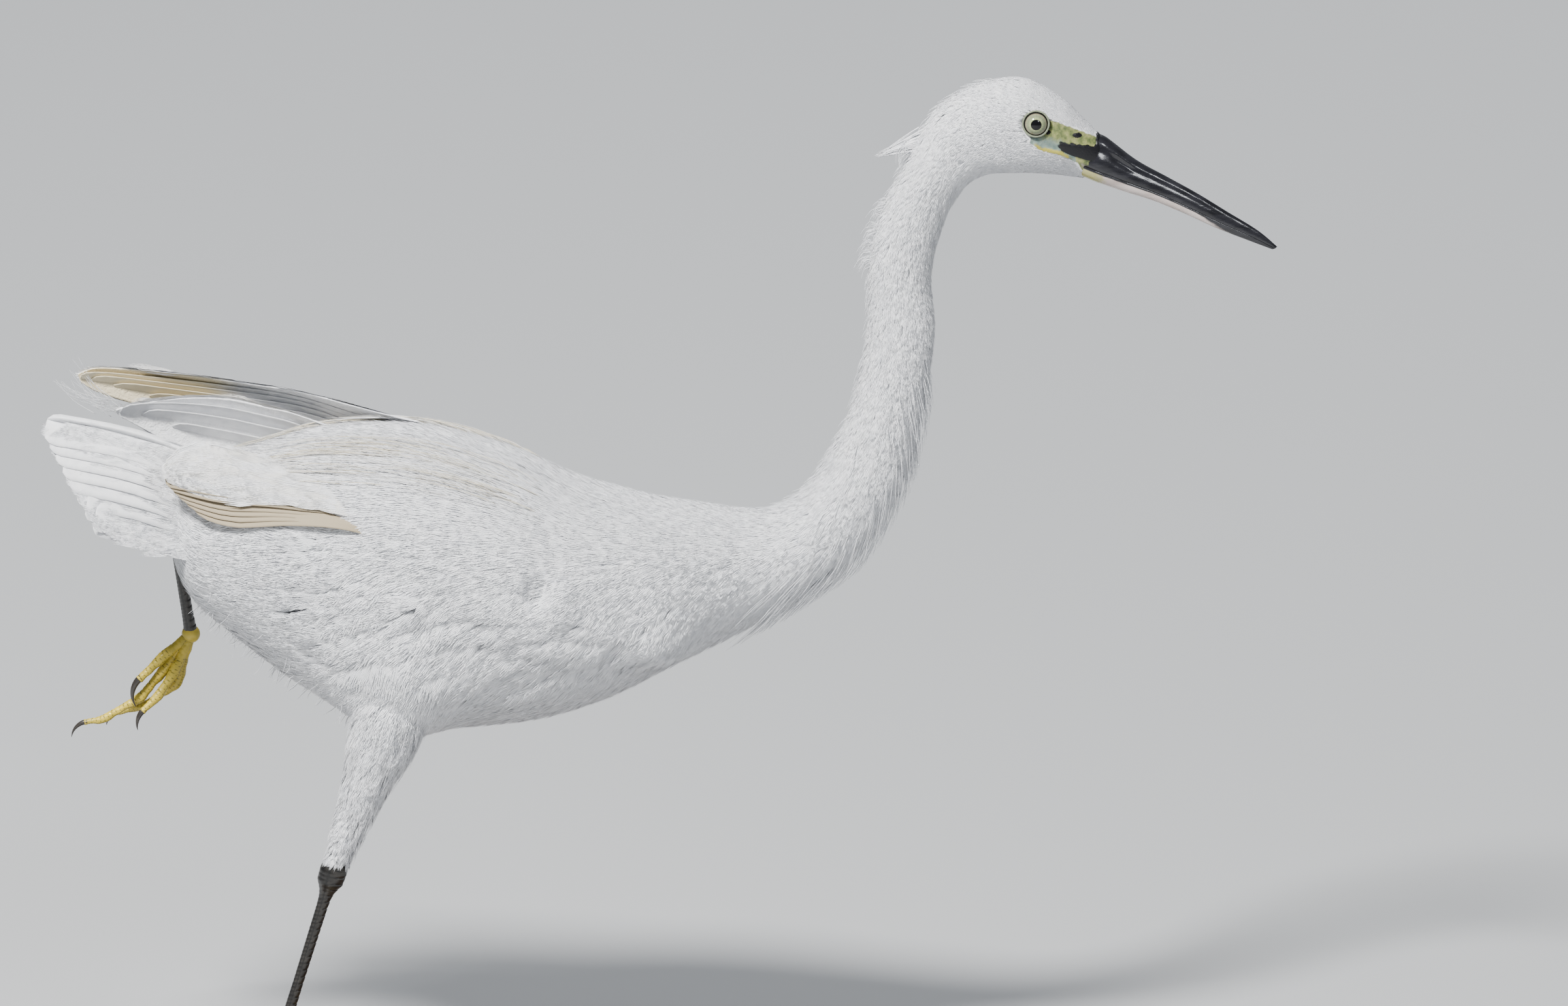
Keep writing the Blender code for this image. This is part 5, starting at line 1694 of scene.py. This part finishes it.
# Light, floor and camera
SENSOR = 36.0
FLOOR_SIZE = 40.0
FLOOR_GREY = (0.42, 0.43, 0.44)
WORLD_COLOUR = (0.80, 0.84, 0.90, 1.0)
WORLD_STRENGTH = 0.22


def aim(held, place, direction):
    """Puts a camera or a lamp in its place and turns it along a direction."""
    held.location = place
    held.rotation_euler = direction.to_track_quat("-Z", "Y").to_euler()


def add_camera():
    camera = add_object("camera", bpy.data.cameras.new("camera"))
    direction = Vector((0.0, math.cos(CAMERA_ELEVATION), -math.sin(CAMERA_ELEVATION)))
    aim(camera, CAMERA_AIM - direction * CAMERA_DISTANCE, direction)
    view_width = IMAGE_WIDTH / PIXELS_PER_MM * MM
    camera.data.sensor_width = SENSOR
    camera.data.lens = SENSOR * CAMERA_DISTANCE / view_width
    camera.data.clip_start = 0.1
    camera.data.clip_end = 200.0
    bpy.context.scene.camera = camera


AreaLight = namedtuple("AreaLight", "name place aim size power colour")
LIGHTS = [
    AreaLight("key", (-0.9, -1.6, 2.6), (0.05, 0.0, 0.28), 0.55, 245.0, (1.0, 0.985, 0.96)),
    AreaLight("fill", (1.55, -2.35, 1.85), (0.2, 0.0, 0.35), 0.6, 22.0, (0.94, 0.97, 1.0)),
    AreaLight("back", (0.4, 2.4, 2.2), (0.0, 0.0, 0.3), 1.0, 60.0, (0.95, 0.97, 1.0)),
]


def add_lights():
    for plan in LIGHTS:
        data = bpy.data.lights.new(plan.name, "AREA")
        data.shape = "DISK"
        data.size = plan.size
        data.energy = plan.power
        data.color = plan.colour
        aim(add_object(plan.name, data), plan.place, Vector(plan.aim) - Vector(plan.place))
    world = bpy.data.worlds.new("studio")
    world.use_nodes = True
    background = world.node_tree.nodes["Background"]
    background.inputs["Color"].default_value = WORLD_COLOUR
    background.inputs["Strength"].default_value = WORLD_STRENGTH
    bpy.context.scene.world = world


def add_floor():
    half = FLOOR_SIZE / 2.0 / MM
    floor = make_mesh("floor", [(-half, -half, -0.5), (half, -half, -0.5), (half, half, -0.5),
                                (-half, half, -0.5)], [(0, 1, 2, 3)])
    made, tree, shader = node_material("floor")
    dress_shader(tree, shader, FLOOR_GREY, Roughness=0.9)
    set_material(floor, made)


# Black of the legs and yellow of the feet, in the seams between the scutes and on them
LEG_SHADES = ((0.009, 0.0085, 0.008), (0.030, 0.027, 0.023))
FOOT_SHADES = ((0.42, 0.33, 0.03), (0.66, 0.50, 0.06))
CLAW_SHADE = (0.035, 0.03, 0.026)
LID_SHADE = (0.22, 0.25, 0.17)


def main():
    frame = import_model()
    nodes = frame["nodes"]
    down = down_material()
    firm = vane_material()
    skin = skin_loft()
    finish_piece(join_flesh(skin, [thigh_flesh(word) for word in SIDES]),
                 skin_material())
    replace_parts(skin, "torso", "neck_lower", "neck_middle", "neck_upper", "head", "thigh_right",
                "thigh_left", "wing_right", "wing_left", "tail")
    body_coat("coat_trunk", (TRUNK_START, TRUNK_END), TRUNK_LOOK, SEED + 20, TRUNK_CLUMPS, down,
              ruffled, 1.5)
    body_coat("coat_neck", (TRUNK_END, HEAD_START), NECK_LOOK, SEED + 30, NECK_CLUMPS, down,
              density=1.3)
    body_coat("coat_head", (HEAD_START, COAT_END), HEAD_LOOK, SEED + 40, HEAD_CLUMPS, down)
    for word in SIDES:
        thigh_coat(word, down)
    for word in PAD_SIDE:
        wing_end(word, down, firm)
    tail_feathers(firm)
    tail_coverts(down)
    free_plumes(down)
    make_bill(bill_material())
    leg = scaly_material("leg", *LEG_SHADES, 0.36)
    foot = scaly_material("foot", *FOOT_SHADES, 0.45)
    claw = plain_material("claw", CLAW_SHADE, 0.3, 0.3)
    eye = eye_material()
    lids = plain_material("lids", LID_SHADE, 0.4)
    for word, plans in (("right", RIGHT_TOES), ("left", LEFT_TOES)):
        make_eye(word, eye, lids)
        make_tarsus(word, leg)
        make_foot(word, plans, foot, claw)
    set_material(nodes["stand_base"], wood_material())
    add_floor()
    add_lights()
    add_camera()


main()
